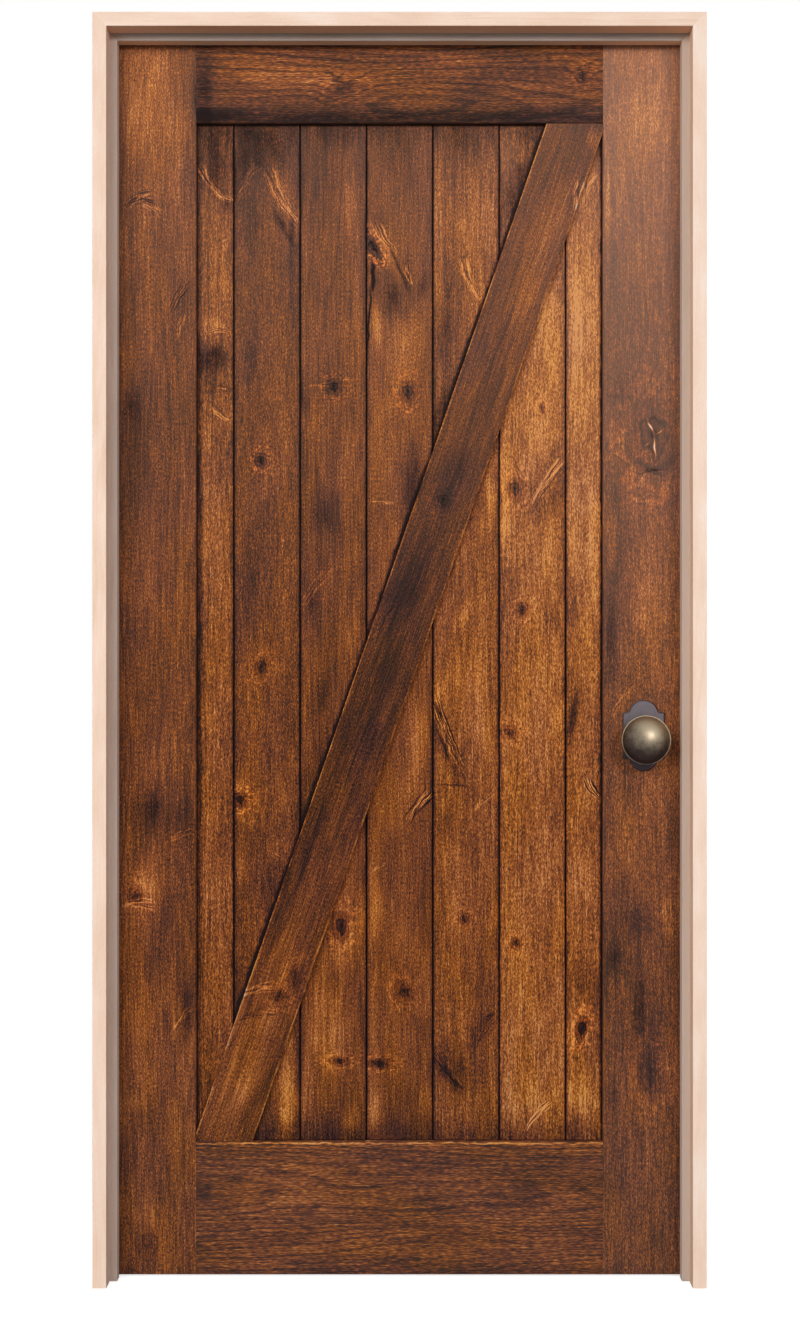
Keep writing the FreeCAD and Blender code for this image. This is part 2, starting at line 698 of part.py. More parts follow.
def hinges():
    """The plates and pins of all the hinges."""
    pieces = {}
    for name, centre in HINGE_CENTRES.items():
        pieces[f"{name}_hinge_jamb_plate"] = hinge_plate(HINGE_FACE, -1, centre, 0)
        pieces[f"{name}_hinge_leaf_plate"] = hinge_plate(LEAF_LEFT, 1, centre, 1)
        pieces[f"{name}_hinge_pin"] = hinge_pin(centre)
    return pieces


def pieces():
    """Every piece of the door by name."""
    return {
        "hinge_jamb": hung_jamb(),
        "strike_jamb": struck_jamb(),
        "head_jamb": head_jamb(),
        "hinge_stop": stop_leg(HINGE_FACE, HINGE_FACE + STOP_THICKNESS),
        "strike_stop": stop_leg(STRIKE_FACE, STRIKE_FACE - STOP_THICKNESS),
        "head_stop": head_stop(),
        "hinge_stile": hung_stile(),
        "lock_stile": lock_stile(),
        "top_rail": rail(LEAF_TOP, PANEL_TOP),
        "bottom_rail": rail(LEAF_BOTTOM, PANEL_BOTTOM),
        **planks(),
        "front_brace": brace(PLANK_FRONT, -1),
        "back_brace": brace(PLANK_BACK, 1),
        **hinges(),
        "front_rosette": rosette(LEAF_FRONT, -1),
        "back_rosette": rosette(LEAF_BACK, 1),
        "front_knob": knob(LEAF_FRONT, -1),
        "back_knob": knob(LEAF_BACK, 1),
        "spindle": spindle(),
        "latch_faceplate": latch_faceplate(),
        "latch_bolt": latch_bolt(),
        "strike_plate": strike_plate(),
    }


def main():
    os.makedirs("parts", exist_ok=True)
    for name, shape in pieces().items():
        shape.exportStep(f"parts/{name}.step")
        volume = shape.Volume / 1000
        print(f"{name}: {len(shape.Solids)} solid, {volume:.1f} cm3, valid {shape.isValid()}")


main()
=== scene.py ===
# %% [markdown]
# # A framed and braced plank door, dressed
#
# The solids of this door are already made: jamb, stops, stiles, rails, planks, braces, hinges and knob set.
# This lesson gives them their finish. Most of it is about one thing, stained knotty alder, because that is
# nearly all that one sees of the door. The pale jamb, the aged bronze and the screws come after it.
#
# The first cell loads the solids and reads their boxes.

# %% Load the frame
import math

import bmesh
import bpy
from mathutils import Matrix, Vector


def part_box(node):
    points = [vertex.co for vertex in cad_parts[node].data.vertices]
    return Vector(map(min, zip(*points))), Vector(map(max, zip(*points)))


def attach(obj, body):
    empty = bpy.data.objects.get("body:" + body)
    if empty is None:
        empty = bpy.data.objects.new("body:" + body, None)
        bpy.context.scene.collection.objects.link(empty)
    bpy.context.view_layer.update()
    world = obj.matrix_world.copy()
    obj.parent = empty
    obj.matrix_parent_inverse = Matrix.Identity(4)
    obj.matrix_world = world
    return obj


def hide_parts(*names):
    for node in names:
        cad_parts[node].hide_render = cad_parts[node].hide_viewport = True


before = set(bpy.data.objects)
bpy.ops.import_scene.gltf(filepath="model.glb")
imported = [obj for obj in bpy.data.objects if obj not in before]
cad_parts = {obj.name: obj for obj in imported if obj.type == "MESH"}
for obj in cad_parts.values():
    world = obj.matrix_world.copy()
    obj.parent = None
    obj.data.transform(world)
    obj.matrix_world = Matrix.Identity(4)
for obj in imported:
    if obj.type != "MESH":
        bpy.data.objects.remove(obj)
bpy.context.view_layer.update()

scene = bpy.context.scene
scene.view_settings.view_transform = "Standard"

# %% [markdown]
# ## The photograph's camera
#
# The door is seen straight on, so the camera looks along +Y. Two things settle it: how many pixels a metre
# covers at the front edge of the jamb, and how far away the camera stood. The first comes from the jamb's
# own edges in the picture. The second comes from how much smaller the leaf looks than the jamb in front of
# it. A lens is then only a matter of proportion: focal length over sensor height equals pixels over pixels.

# %% Camera
PHOTO_WIDTH, PHOTO_HEIGHT = 800, 1327
JAMB_LEFT_PX, JAMB_RIGHT_PX = 91.8, 707.3
JAMB_TOP_PX, JAMB_FOOT_PX = 12.7, 1287.8
CAMERA_DISTANCE = 3.53
SENSOR_HEIGHT = 24.0

jamb_left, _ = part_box("hinge_jamb")
_, jamb_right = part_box("strike_jamb")
_, jamb_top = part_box("head_jamb")
door_width = jamb_right.x - jamb_left.x
door_height = jamb_top.z - jamb_left.z
across_px = (JAMB_RIGHT_PX - JAMB_LEFT_PX) / door_width
upright_px = (JAMB_FOOT_PX - JAMB_TOP_PX) / door_height
px_per_metre = (across_px + upright_px) / 2
focal_px = px_per_metre * CAMERA_DISTANCE

camera_data = bpy.data.cameras.new("photo_camera")
camera_data.sensor_fit = "VERTICAL"
camera_data.sensor_height = SENSOR_HEIGHT
camera_data.lens = SENSOR_HEIGHT * focal_px / PHOTO_HEIGHT
camera = bpy.data.objects.new("photo_camera", camera_data)
camera.location = (
    jamb_left.x + door_width / 2 + (PHOTO_WIDTH - JAMB_LEFT_PX - JAMB_RIGHT_PX) / 2 / px_per_metre,
    jamb_left.y - CAMERA_DISTANCE,
    jamb_left.z + door_height / 2 - (PHOTO_HEIGHT - JAMB_TOP_PX - JAMB_FOOT_PX) / 2 / px_per_metre,
)
camera.rotation_euler = (math.pi / 2, 0, 0)
scene.collection.objects.link(camera)
scene.camera = camera


def seen_at(px, py, depth):
    """The x and z, in metres, of what the picture shows at a pixel on a surface at y = depth."""
    metres = (depth - camera.location.y) / focal_px
    x = camera.location.x + (px - PHOTO_WIDTH / 2) * metres
    z = camera.location.z - (py - PHOTO_HEIGHT / 2) * metres
    return x, z


print(f"lens {camera_data.lens:.1f} mm, {px_per_metre:.0f} pixels to the metre")

# %% [markdown]
# ## Writing node trees like sums
#
# A shader tree is a lot of small arithmetic. Made by hand in the editor it is a web of wires, and in a
# script it is many lines of new nodes and links. The little class below lets one line add a node, fill its
# inputs and hand back its output. An input that is given a socket is wired, and any other is set.

# %% Tree


class Tree:
    """A node tree that is written one line to a node."""

    def __init__(self, tree):
        self.tree = tree

    def add(self, kind, inputs=None, **settings):
        """Adds a node, with its settings, and wires or sets its inputs by name or number."""
        node = self.tree.nodes.new(kind)
        for name, value in settings.items():
            setattr(node, name, value)
        for key, value in (inputs or {}).items():
            if isinstance(value, bpy.types.NodeSocket):
                self.tree.links.new(value, node.inputs[key])
            else:
                node.inputs[key].default_value = value
        return node

    def math(self, operation, *values):
        """One sum of up to three numbers or sockets."""
        return self.add("ShaderNodeMath", dict(enumerate(values)), operation=operation).outputs[0]

    def total(self, first, *others):
        """Numbers and sockets added up."""
        for value in others:
            first = self.math("ADD", first, value)
        return first

    def times(self, first, *others):
        """Numbers and sockets multiplied."""
        for value in others:
            first = self.math("MULTIPLY", first, value)
        return first

    def less(self, first, second):
        """One value less another."""
        return self.math("SUBTRACT", first, second)

    def swing(self, value):
        """A random value of 0 to 1 made to swing both ways from zero."""
        return self.less(value, 0.5)

    def distance(self, first, second):
        """How far a point is from zero, by two of its coordinates."""
        return self.math("SQRT", self.total(self.times(first, first), self.times(second, second)))

    def ramp(self, value, low, high, start=0.0, end=1.0):
        """Eases from start to end as value goes from low to high."""
        inputs = {"Value": value, 1: low, 2: high, 3: start, 4: end}
        return self.add("ShaderNodeMapRange", inputs, interpolation_type="SMOOTHSTEP").outputs[0]

    def bell(self, value, width):
        """A soft bump, 1 at zero, that has nearly gone by twice its width."""
        scaled = self.math("DIVIDE", value, width)
        return self.math("EXPONENT", self.times(scaled, scaled, -1.0))

    def noise(self, vector, detail=2.0, roughness=0.5):
        """Smooth random values round one half, one lump to each unit of the coordinates."""
        inputs = {"Vector": vector, "Scale": 1.0, "Detail": detail, "Roughness": roughness}
        return self.add("ShaderNodeTexNoise", inputs).outputs[0]

    def cells(self, vector, width, length):
        """Coordinates counted in lumps of a width across the grain and a length along it, in metres."""
        scale = (1 / width, 1 / width, 1 / length)
        return self.add("ShaderNodeMapping", {"Vector": vector, "Scale": scale}).outputs[0]

    def split(self, vector):
        """The three parts of a vector."""
        return self.add("ShaderNodeSeparateXYZ", {"Vector": vector}).outputs

    def join(self, x, y, z):
        """A vector from its three parts."""
        return self.add("ShaderNodeCombineXYZ", {"X": x, "Y": y, "Z": z}).outputs[0]

    def vector(self, operation, inputs):
        """One sum of vectors."""
        return self.add("ShaderNodeVectorMath", inputs, operation=operation).outputs[0]

    def shift(self, vector, by):
        """A vector moved by another."""
        return self.vector("ADD", {0: vector, 1: by})

    def length(self, vector):
        """How long a vector is."""
        return self.add("ShaderNodeVectorMath", {0: vector}, operation="LENGTH").outputs["Value"]

    def mix(self, share, first, second):
        """One colour passing into another as share goes from 0 to 1."""
        return self.add("ShaderNodeMix", {0: share, 6: first, 7: second}, data_type="RGBA").outputs[2]

    def tint(self, share, colour, tint):
        """A colour with a share of a tint multiplied in."""
        inputs = {0: share, 6: colour, 7: tint}
        return self.add("ShaderNodeMix", inputs, data_type="RGBA", blend_type="MULTIPLY").outputs[2]

    def group(self, node_group, inputs):
        """Places a node group with its inputs filled, and returns its outputs."""
        return self.add("ShaderNodeGroup", inputs, node_tree=node_group).outputs


print("tree class ready")

# %% Groups, colours and materials
SOCKETS = {"value": "NodeSocketFloat", "vector": "NodeSocketVector", "colour": "NodeSocketColor"}
WHITE = (1.0, 1.0, 1.0, 1.0)


def values(*labels):
    """Sockets that each hold one number."""
    return dict.fromkeys(labels, "value")


def new_group(name, inputs, outputs):
    """A shader node group with named sockets, as the group, its tree, what comes in and what goes out."""
    node_group = bpy.data.node_groups.new(name, "ShaderNodeTree")
    for side, sockets in (("INPUT", inputs), ("OUTPUT", outputs)):
        for label, kind in sockets.items():
            node_group.interface.new_socket(label, in_out=side, socket_type=SOCKETS[kind])
    tree = Tree(node_group)
    return node_group, tree, tree.add("NodeGroupInput").outputs, tree.add("NodeGroupOutput").inputs


def send(tree, results, outputs):
    """Wires a group's results to its outputs by name."""
    for label, socket in results.items():
        tree.tree.links.new(socket, outputs[label])


def srgb(red, green, blue):
    """A screen colour of 0 to 255 as the linear colour that shaders work with."""
    parts = [channel / 255 for channel in (red, green, blue)]
    linear = [c / 12.92 if c <= 0.04045 else ((c + 0.055) / 1.055) ** 2.4 for c in parts]
    return (*linear, 1.0)


def colour_ramp(tree, value, stops):
    """A colour read from a row of stops: {place from 0 to 1: screen colour}."""
    node = tree.add("ShaderNodeValToRGB", {"Fac": value})
    ramp = node.color_ramp
    places = sorted(stops)
    ramp.elements[0].position = places[0]
    ramp.elements[1].position = places[-1]
    for place in places[1:-1]:
        ramp.elements.new(place)
    for element in ramp.elements:
        nearest = min(places, key=lambda place: abs(place - element.position))
        element.color = srgb(*stops[nearest])
    return node.outputs[0]


def new_material(name):
    """An empty node material, as the material, its tree, its shader and its object coordinates."""
    material = bpy.data.materials.new(name)
    material.use_nodes = True
    tree = Tree(material.node_tree)
    shader = material.node_tree.nodes["Principled BSDF"]
    place = tree.add("ShaderNodeTexCoord").outputs["Object"]
    return material, tree, shader, place


def dress(shader, tree, colour, roughness, height, bump_depth):
    """Wires a finish to a shader. bump_depth is the depth of the height map in metres."""
    bump = tree.add("ShaderNodeBump", {"Height": height, "Distance": bump_depth, "Strength": 1.0})
    tree.tree.links.new(colour, shader.inputs["Base Color"])
    tree.tree.links.new(roughness, shader.inputs["Roughness"])
    tree.tree.links.new(bump.outputs[0], shader.inputs["Normal"])


def give(node, material):
    """Puts one material on a CAD node."""
    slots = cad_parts[node].data.materials
    slots.clear()
    slots.append(material)


print("socket kinds:", sorted(SOCKETS))

# %% [markdown]
# ## How a board grows: rings, fibres and drift
#
# A board is a slice of a tree, so its figure is best made as a solid: nested cones round the pith, cut by
# the saw. On the face that gives arches in the middle and straight lines at the edges, and on the end it
# gives curved rings, with nothing to unwrap. An image could show one board well, but a door has many, and
# each should come from its own place in the tree.
#
# The group works in the board's own directions: across, through and along the grain. The ring field is
# the distance from the pith, plus a taper along the grain, plus a slow wander, plus whatever a knot pushes.
# Stretch draws the fine fibres out, for the rails, where they run longer than on the other boards.

# %% Group: Alder Figure
# Each noise has lumps of a width across the grain and a length along it, in metres.
LUMPS = {
    "Wander": (0.10, 0.55),
    "Ripple": (0.016, 0.11),
    "Fibre": (0.0018, 0.050),
    "Streak": (0.0085, 0.30),
    "Speck": (0.0014, 0.0040),
    "Drift": (0.040, 0.12),
    "Hue": (0.055, 0.17),
}
WANDER_REACH, RIPPLE_REACH = 0.055, 0.007
FAINTEST_YEAR = 0.2
figure_group, tree, given, result = new_group(
    "Alder Figure",
    {"Board": "vector", "Seed": "vector"}
    | values("Pith Across", "Pith Depth", "Ring Width", "Taper", "Bend", "Stretch"),
    values("Rings", "Fibre", "Streak", "Speck", "Drift", "Hue"),
)
seeded = tree.shift(given["Board"], given["Seed"])
across, through, along = tree.split(given["Board"])
stretched = tree.join(across, through, tree.math("DIVIDE", along, given["Stretch"]))
fine = tree.shift(stretched, given["Seed"])
from_pith = tree.less(across, given["Pith Across"])
deep = tree.less(through, given["Pith Depth"])
wander = tree.swing(tree.noise(tree.cells(seeded, *LUMPS["Wander"]), 1.0))
ripple = tree.swing(tree.noise(tree.cells(seeded, *LUMPS["Ripple"]), 1.0))
field = tree.total(
    tree.distance(from_pith, deep),
    tree.times(along, given["Taper"]),
    tree.times(wander, WANDER_REACH),
    tree.times(ripple, RIPPLE_REACH),
    given["Bend"],
)
phase = tree.math("DIVIDE", field, given["Ring Width"])
ring = tree.math("FRACT", phase)
late_wood = tree.times(tree.ramp(ring, 0.40, 0.88), tree.ramp(ring, 0.9, 1.0, 1.0, 0.0))
year_inputs = {"W": tree.math("FLOOR", phase)}
year = tree.add("ShaderNodeTexWhiteNoise", year_inputs, noise_dimensions="1D").outputs[0]
year_depth = tree.total(tree.times(year, 1.0 - FAINTEST_YEAR), FAINTEST_YEAR)
send(
    tree,
    {
        "Rings": tree.times(late_wood, year_depth),
        "Fibre": tree.noise(tree.cells(fine, *LUMPS["Fibre"]), 2.0, 0.6),
        "Streak": tree.noise(tree.cells(seeded, *LUMPS["Streak"]), 2.0, 0.55),
        "Speck": tree.noise(tree.cells(fine, *LUMPS["Speck"]), 1.0, 0.6),
        "Drift": tree.noise(tree.cells(seeded, *LUMPS["Drift"]), 2.0, 0.55),
        "Hue": tree.noise(tree.cells(given["Board"], *LUMPS["Hue"]), 1.0),
    },
    result,
)
print("figure group:", len(figure_group.nodes), "nodes")

# %% [markdown]
# ## Marks on a board: knots, feathers and smudges
#
# Knots are where a branch left the trunk. A dark core has a slit in its heart and a darker rim. Outside it
# come a warm collar, a line of bark and a patchy glow, and the rings of the trunk bend to pass it. A feather
# is the torn, shining figure beside a hidden branch. Most smudges are stain that went on thicker or thinner,
# and a few are painted shadows, sheen and highlights, each marked in the table.
#
# Each mark is one small group that takes coordinates in its own size, where 1 is its edge, and adds to
# running totals of shade, glow and bend. A board chains as many of them as it has marks.

# %% Group: Alder Knot
# Each ring of a knot has a place, counted in the knot's own size, and a width.
KNOT_RINGS = {"collar": (0.85, 0.30), "rim": (0.66, 0.11), "bark": (1.15, 0.14), "flare": (1.9, 0.7)}
KNOT_SHADES = {
    "core": 0.36,
    "slit": 0.45,
    "rim": 0.46,
    "bark": 0.16,
    "year lines": 0.09,
    "collar": 0.10,
    "flare": -0.15,
}
RAGGED_SCALE, RAGGED_REACH = 1.5, 1.1
FLARE_SCALE = (1.3, 1.0, 2.6)
YEAR_LINE_RATE, YEAR_LINE_REACH = 15.0, 2.2
KNOT_GLOW, BEND_REACH = 0.6, 2.0
knot_group, tree, given, result = new_group(
    "Alder Knot",
    {"Local": "vector"} | values("Strength", "Pull", "Shade", "Glow", "Bend"),
    values("Shade", "Glow", "Bend"),
)
ragged = tree.noise(tree.vector("SCALE", {0: given["Local"], "Scale": RAGGED_SCALE}), 1.0)
edge = tree.total(tree.length(given["Local"]), tree.times(tree.swing(ragged), RAGGED_REACH))
across, _, along = tree.split(given["Local"])
parts = {name: tree.bell(tree.less(edge, place), width) for name, (place, width) in KNOT_RINGS.items()}
parts["core"] = tree.ramp(edge, 0.30, 0.72, 1.0, 0.0)
parts["slit"] = tree.times(tree.bell(across, 0.24), tree.bell(along, 0.55))
year_waves = tree.math("SINE", tree.times(edge, YEAR_LINE_RATE))
parts["year lines"] = tree.times(year_waves, tree.bell(edge, YEAR_LINE_REACH))
flare_noise = tree.noise(tree.vector("MULTIPLY", {0: given["Local"], 1: FLARE_SCALE}), 1.0)
parts["flare"] = tree.times(tree.ramp(flare_noise, 0.48, 0.58), parts["flare"])
darkening = tree.total(*[tree.times(parts[name], share) for name, share in KNOT_SHADES.items()])
glowing = tree.times(tree.total(parts["core"], parts["collar"], parts["flare"]), KNOT_GLOW, given["Strength"])
send(
    tree,
    {
        "Shade": tree.total(given["Shade"], tree.times(darkening, given["Strength"])),
        "Glow": tree.total(given["Glow"], glowing),
        "Bend": tree.total(given["Bend"], tree.times(tree.bell(edge, BEND_REACH), given["Pull"])),
    },
    result,
)
print("knot group:", len(knot_group.nodes), "nodes")

# %% Groups: Alder Feather and Alder Smudge
FEATHER_BOW, FEATHER_TEETH, FEATHER_GLOW = 0.6, 4.2, 0.8
feather_group, tree, given, result = new_group(
    "Alder Feather",
    {"Local": "vector"} | values("Lift", "Shade", "Glow"),
    values("Shade", "Glow"),
)
side, seed, length = tree.split(given["Local"])
bowed = tree.less(side, tree.times(length, length, FEATHER_BOW))
spread = tree.total(tree.times(length, 0.35), 0.75)
fanned = tree.math("DIVIDE", bowed, spread)
fade = tree.times(
    tree.ramp(tree.math("ABSOLUTE", length), 0.6, 1.0, 1.0, 0.0),
    tree.ramp(tree.math("ABSOLUTE", fanned), 0.8, 1.15, 1.0, 0.0),
)
teeth = tree.noise(tree.join(tree.times(fanned, FEATHER_TEETH), seed, length), 1.0, 0.6)
comb = tree.ramp(teeth, 0.42, 0.60)
strokes = tree.times(fade, tree.less(tree.times(comb, 1.9), 0.5), given["Lift"])
send(
    tree,
    {
        "Shade": tree.less(given["Shade"], strokes),
        "Glow": tree.total(given["Glow"], tree.times(tree.math("ABSOLUTE", strokes), FEATHER_GLOW)),
    },
    result,
)

smudge_group, tree, given, result = new_group(
    "Alder Smudge",
    {"Local": "vector"} | values("Strength", "Patchy", "Shade"),
    values("Shade"),
)
cover = tree.bell(tree.length(given["Local"]), 0.85)
cover = tree.times(cover, tree.total(tree.times(given["Patchy"], 1.3), 0.65))
send(tree, {"Shade": tree.total(given["Shade"], tree.times(cover, given["Strength"]))}, result)
print("mark groups:", [group.name for group in (knot_group, feather_group, smudge_group)])

# %% [markdown]
# ## Edges: where stain gathers and wears
#
# Stain pools in the V between planks and dries nearly black there. A rag can't reach right into a corner
# either, so a soft dark band is left along the ends of the panel. Along the arrises it is the other way
# round: the rag and the years take colour off, and the pale arris is also a painted highlight where light
# catches the edge. All three follow from how far a point is from the board's own edges, so one group works
# them out from the half width and half length.

# %% Group: Board Edges
ARRIS_WIDTH = 0.0022
edges_group, tree, given, result = new_group(
    "Board Edges",
    {"Board": "vector"}
    | values("Patchy", "Half Width", "Half Length", "Side Band", "End Band", "Line Width"),
    values("Side Line", "End Line", "Band", "Arris Wear And Highlight"),
)
across, _, along = tree.split(given["Board"])
to_side = tree.less(given["Half Width"], tree.math("ABSOLUTE", across))
to_end = tree.less(given["Half Length"], tree.math("ABSOLUTE", along))
bands = tree.math("MAXIMUM", tree.bell(to_side, given["Side Band"]), tree.bell(to_end, given["End Band"]))
send(
    tree,
    {
        "Side Line": tree.bell(to_side, given["Line Width"]),
        "End Line": tree.bell(to_end, given["Line Width"]),
        "Band": tree.times(bands, tree.total(tree.times(given["Patchy"], 1.1), 0.3)),
        "Arris Wear And Highlight": tree.times(tree.bell(to_side, ARRIS_WIDTH), tree.ramp(given["Patchy"], 0.25, 0.60)),
    },
    result,
)
print("edge group:", len(edges_group.nodes), "nodes")

# %% [markdown]
# ## The stain
#
# Stained alder runs from nearly black to amber along one path, so its colour can be one number, the tone,
# read from a row of colours. Rings, fibres, pores and marks all push that number up or down.
#
# Tints follow, and they are multiplied in, so that what is dark stays dark: orange beside the knots, a cold
# brown where the stain lies thick, and a slow drift from cold to warm. Towards the top of the door a painted
# sheen, a pale haze that stands in for light, lies over it all, except on thick stain. Last, where a crack
# has broken the stain, raw wood shows.

# %% Group: Alder Stain
STAIN_STOPS = {
    0.00: (28, 17, 16),
    0.15: (50, 29, 23),
    0.30: (77, 43, 29),
    0.45: (106, 58, 32),
    0.60: (137, 76, 36),
    0.75: (170, 98, 45),
    0.88: (197, 124, 61),
    1.00: (222, 155, 90),
}
FIGURE_SHARES = {"Fibre": 0.84, "Streak": 0.17, "Speck": 1.30, "Drift": 0.40}
COLD_TINT = (0.97, 0.95, 1.10, 1.0)
WARM_TINT = (1.06, 1.02, 0.76, 1.0)
GLOW_TINT = (1.40, 0.88, 0.46, 1.0)
THICK_TINT = (0.55, 0.55, 0.95, 1.0)
SHEEN_COLOUR, RAW_COLOUR = (190, 150, 130), (232, 214, 196)
GLOW_LIFT, GLOW_SHARE, GLOW_MOST, GLOW_THINS = 0.06, 0.5, 0.8, 0.7
THICK_MOST, THICK_CLEARS = 0.40, 2.2
STAIN_ROUGHNESS = 0.46
stain_group, tree, given, result = new_group(
    "Alder Stain",
    values("Tone", "Rings", "Ring Depth", "Fibre", "Streak", "Speck", "Drift", "Hue")
    | values("Shade", "Glow", "Painted Sheen"),
    {"Colour": "colour"} | values("Roughness", "Height"),
)
spread = {name: tree.swing(given[name]) for name in FIGURE_SHARES}
tone = tree.total(
    given["Tone"],
    *[tree.times(spread[name], share) for name, share in FIGURE_SHARES.items()],
    tree.times(given["Rings"], given["Ring Depth"], -1.0),
    tree.times(given["Shade"], -1.0),
    tree.times(given["Glow"], GLOW_LIFT),
)
stained = colour_ramp(tree, tone, STAIN_STOPS)
glow = tree.math("MINIMUM", tree.times(given["Glow"], GLOW_SHARE), GLOW_MOST)
warm = tree.tint(glow, stained, GLOW_TINT)
thick = tree.less(given["Shade"], tree.times(given["Glow"], GLOW_THINS))
thick = tree.ramp(thick, 0.08, 0.45, 0.0, THICK_MOST)
cold = tree.tint(thick, warm, THICK_TINT)
tinted = tree.tint(1.0, cold, tree.mix(tree.ramp(given["Hue"], 0.34, 0.66), COLD_TINT, WARM_TINT))
# Painted sheen: a pale haze towards the top of the door that stands in for light, thinned where the stain
# lies thick.
sheen_share = tree.times(given["Painted Sheen"], tree.less(1.0, tree.times(thick, THICK_CLEARS)))
sheened = tree.mix(sheen_share, tinted, srgb(*SHEEN_COLOUR))
broken = tree.ramp(given["Shade"], -1.10, -0.60, 1.0, 0.0)
rough = tree.total(
    STAIN_ROUGHNESS,
    tree.times(given["Rings"], 0.10),
    tree.times(spread["Fibre"], 0.35),
    tree.times(spread["Drift"], 0.25),
)
send(
    tree,
    {
        "Colour": tree.mix(broken, sheened, srgb(*RAW_COLOUR)),
        "Roughness": rough,
        "Height": tree.total(tree.times(given["Fibre"], 0.5), tree.times(given["Speck"], 0.5)),
    },
    result,
)
print("stain group:", len(stain_group.nodes), "nodes")

# %% [markdown]
# ## The marks of the leaf
#
# Thirteen pieces of alder make the leaf, and no two came off the saw alike. The photograph shows where the
# front has its knots, feathers and smudges. The brace of the far side is not seen, so its few marks are
# made up. A material works in object coordinates, so the marks go right through a board, and a knot on the
# front has its other end on the back, as a real one has.
#
# Marks are written as they are read: the pixel across and down, half the width and half the length in
# millimetres, the lean to the right in degrees, and the strength. A smudge below zero is a pale patch,
# and a feather below zero is a dark one. The loop at the end lays a painted shadow, a dark line beside the
# brace, one piece of it on each plank that the brace crosses.

# %% Knots and feathers read from the photograph
KNOTS = {
    "hinge_stile": [(137, 896, 14, 10, 80, 0.80), (151, 1244, 18, 26, 0, 0.30)],
    "lock_stile": [(654, 437, 32, 50, 0, 0.75), (650, 1072, 15, 32, 0, 0.50)],
    "top_rail": [(343, 88, 12, 20, 70, 0.50), (583, 76, 8, 11, 0, 0.70)],
    "bottom_rail": [(455, 1233, 10, 36, 90, 0.15)],
    "plank_2": [(261, 460, 8, 10, 0, 1.50), (262, 667, 9, 13, 20, 0.80), (240, 800, 10, 10, 0, 1.50)],
    "plank_3": [(334, 387, 11, 11, 0, 1.10), (341, 926, 12, 19, 0, 1.00), (339, 1061, 13, 6, 0, 1.00)],
    "plank_4": [
        (373, 247, 7, 16, -28, 2.40), (408, 392, 11, 15, 0, 1.00), (403, 992, 15, 11, 70, 0.80),
        (379, 1064, 14, 7, 0, 1.30),
    ],
    "plank_5": [(464, 919, 8, 9, 0, 0.80)],
    "plank_6": [
        (542, 408, 6, 7, 0, 0.80), (515, 489, 10, 16, 0, 0.80), (522, 610, 8, 10, 0, 0.90),
        (509, 732, 11, 9, 0, 0.80), (516, 943, 8, 9, 0, 0.90),
    ],
    "plank_7": [(582, 1028, 8, 17, 10, 1.70)],
    "front_brace": [(443, 500, 12, 15, 0, 0.50), (278, 997, 12, 11, 30, 0.60), (295, 978, 9, 18, 10, 0.50)],
    "back_brace": [(300, 930, 14, 18, 0, 0.80), (470, 430, 12, 16, 0, 0.80)],
}
FEATHERS = {
    "hinge_stile": [
        (138, 198, 13, 26, 70, -0.34), (152, 208, 7, 22, 118, 0.30), (176, 300, 9, 40, 25, -0.28),
        (180, 326, 6, 26, 20, 0.26), (181, 834, 8, 24, 70, 0.20), (181, 1018, 7, 26, 40, 0.25),
        (138, 903, 10, 30, 90, 0.26),
    ],
    "lock_stile": [
        (652, 472, 7, 30, 92, -0.22), (640, 455, 6, 24, 70, 0.19), (650, 1040, 6, 28, 95, 0.15),
        (622, 700, 6, 40, 35, 0.19), (615, 772, 5, 30, 30, -0.19),
    ],
    "top_rail": [
        (318, 80, 5, 30, 85, 0.25), (360, 80, 4, 25, 100, 0.22), (250, 72, 4, 60, 94, 0.15),
        (290, 60, 4, 60, 92, 0.15),
    ],
    "bottom_rail": [(303, 1188, 5, 30, 85, -0.15), (520, 1235, 4, 40, 92, 0.15)],
    "plank_1": [
        (211, 185, 7, 40, -36, 0.34), (225, 197, 5, 18, -62, 0.38), (217, 330, 7, 26, 86, 0.22),
        (219, 415, 4, 20, -55, 0.44), (217, 387, 6, 22, 92, 0.22),
    ],
    "plank_2": [(281, 198, 13, 60, -28, 0.26), (244, 185, 8, 44, 32, 0.18), (279, 858, 4, 20, -62, 0.24)],
    "plank_3": [(320, 385, 5, 25, 85, 0.19), (350, 380, 4, 25, 95, 0.15), (312, 590, 10, 60, 35, 0.15)],
    "plank_4": [
        (420, 807, 6, 36, 38, -0.55), (418, 805, 7, 30, 38, 0.30), (383, 238, 9, 34, -32, 0.30),
        (408, 276, 6, 20, -20, 0.34), (379, 867, 3, 16, 60, 0.31), (383, 502, 3, 25, 95, 0.31),
    ],
    "plank_5": [
        (469, 280, 9, 40, -20, 0.30), (462, 262, 5, 24, 40, -0.25), (449, 735, 7, 78, -22, -0.50),
        (448, 742, 7, 64, -23, 0.26), (482, 802, 4, 24, 50, 0.30), (448, 1073, 9, 44, -38, -0.24),
        (484, 1030, 7, 40, 32, -0.22),
    ],
    "plank_6": [
        (545, 482, 7, 54, 35, 0.42), (548, 488, 5, 50, 38, -0.22), (506, 555, 4, 16, 95, 0.38),
        (536, 1115, 7, 34, 40, 0.46), (518, 1115, 1.5, 40, 0, -0.50),
    ],
    "plank_7": [(585, 190, 10, 34, 15, 0.31), (593, 504, 4, 22, -35, 0.25), (594, 791, 9, 28, -38, -0.60)],
    "front_brace": [
        (577, 196, 9, 30, 10, 0.38), (384, 622, 5, 44, 37, -0.31), (388, 617, 3, 40, 37, 0.15),
        (254, 990, 9, 36, 72, 0.24), (258, 1014, 7, 38, 82, -0.22),
    ],
    "back_brace": [(420, 560, 6, 40, 25, 0.25)],
}
for kind, marks in (("knots", KNOTS), ("feathers", FEATHERS)):
    print(kind, sum(len(rows) for rows in marks.values()))
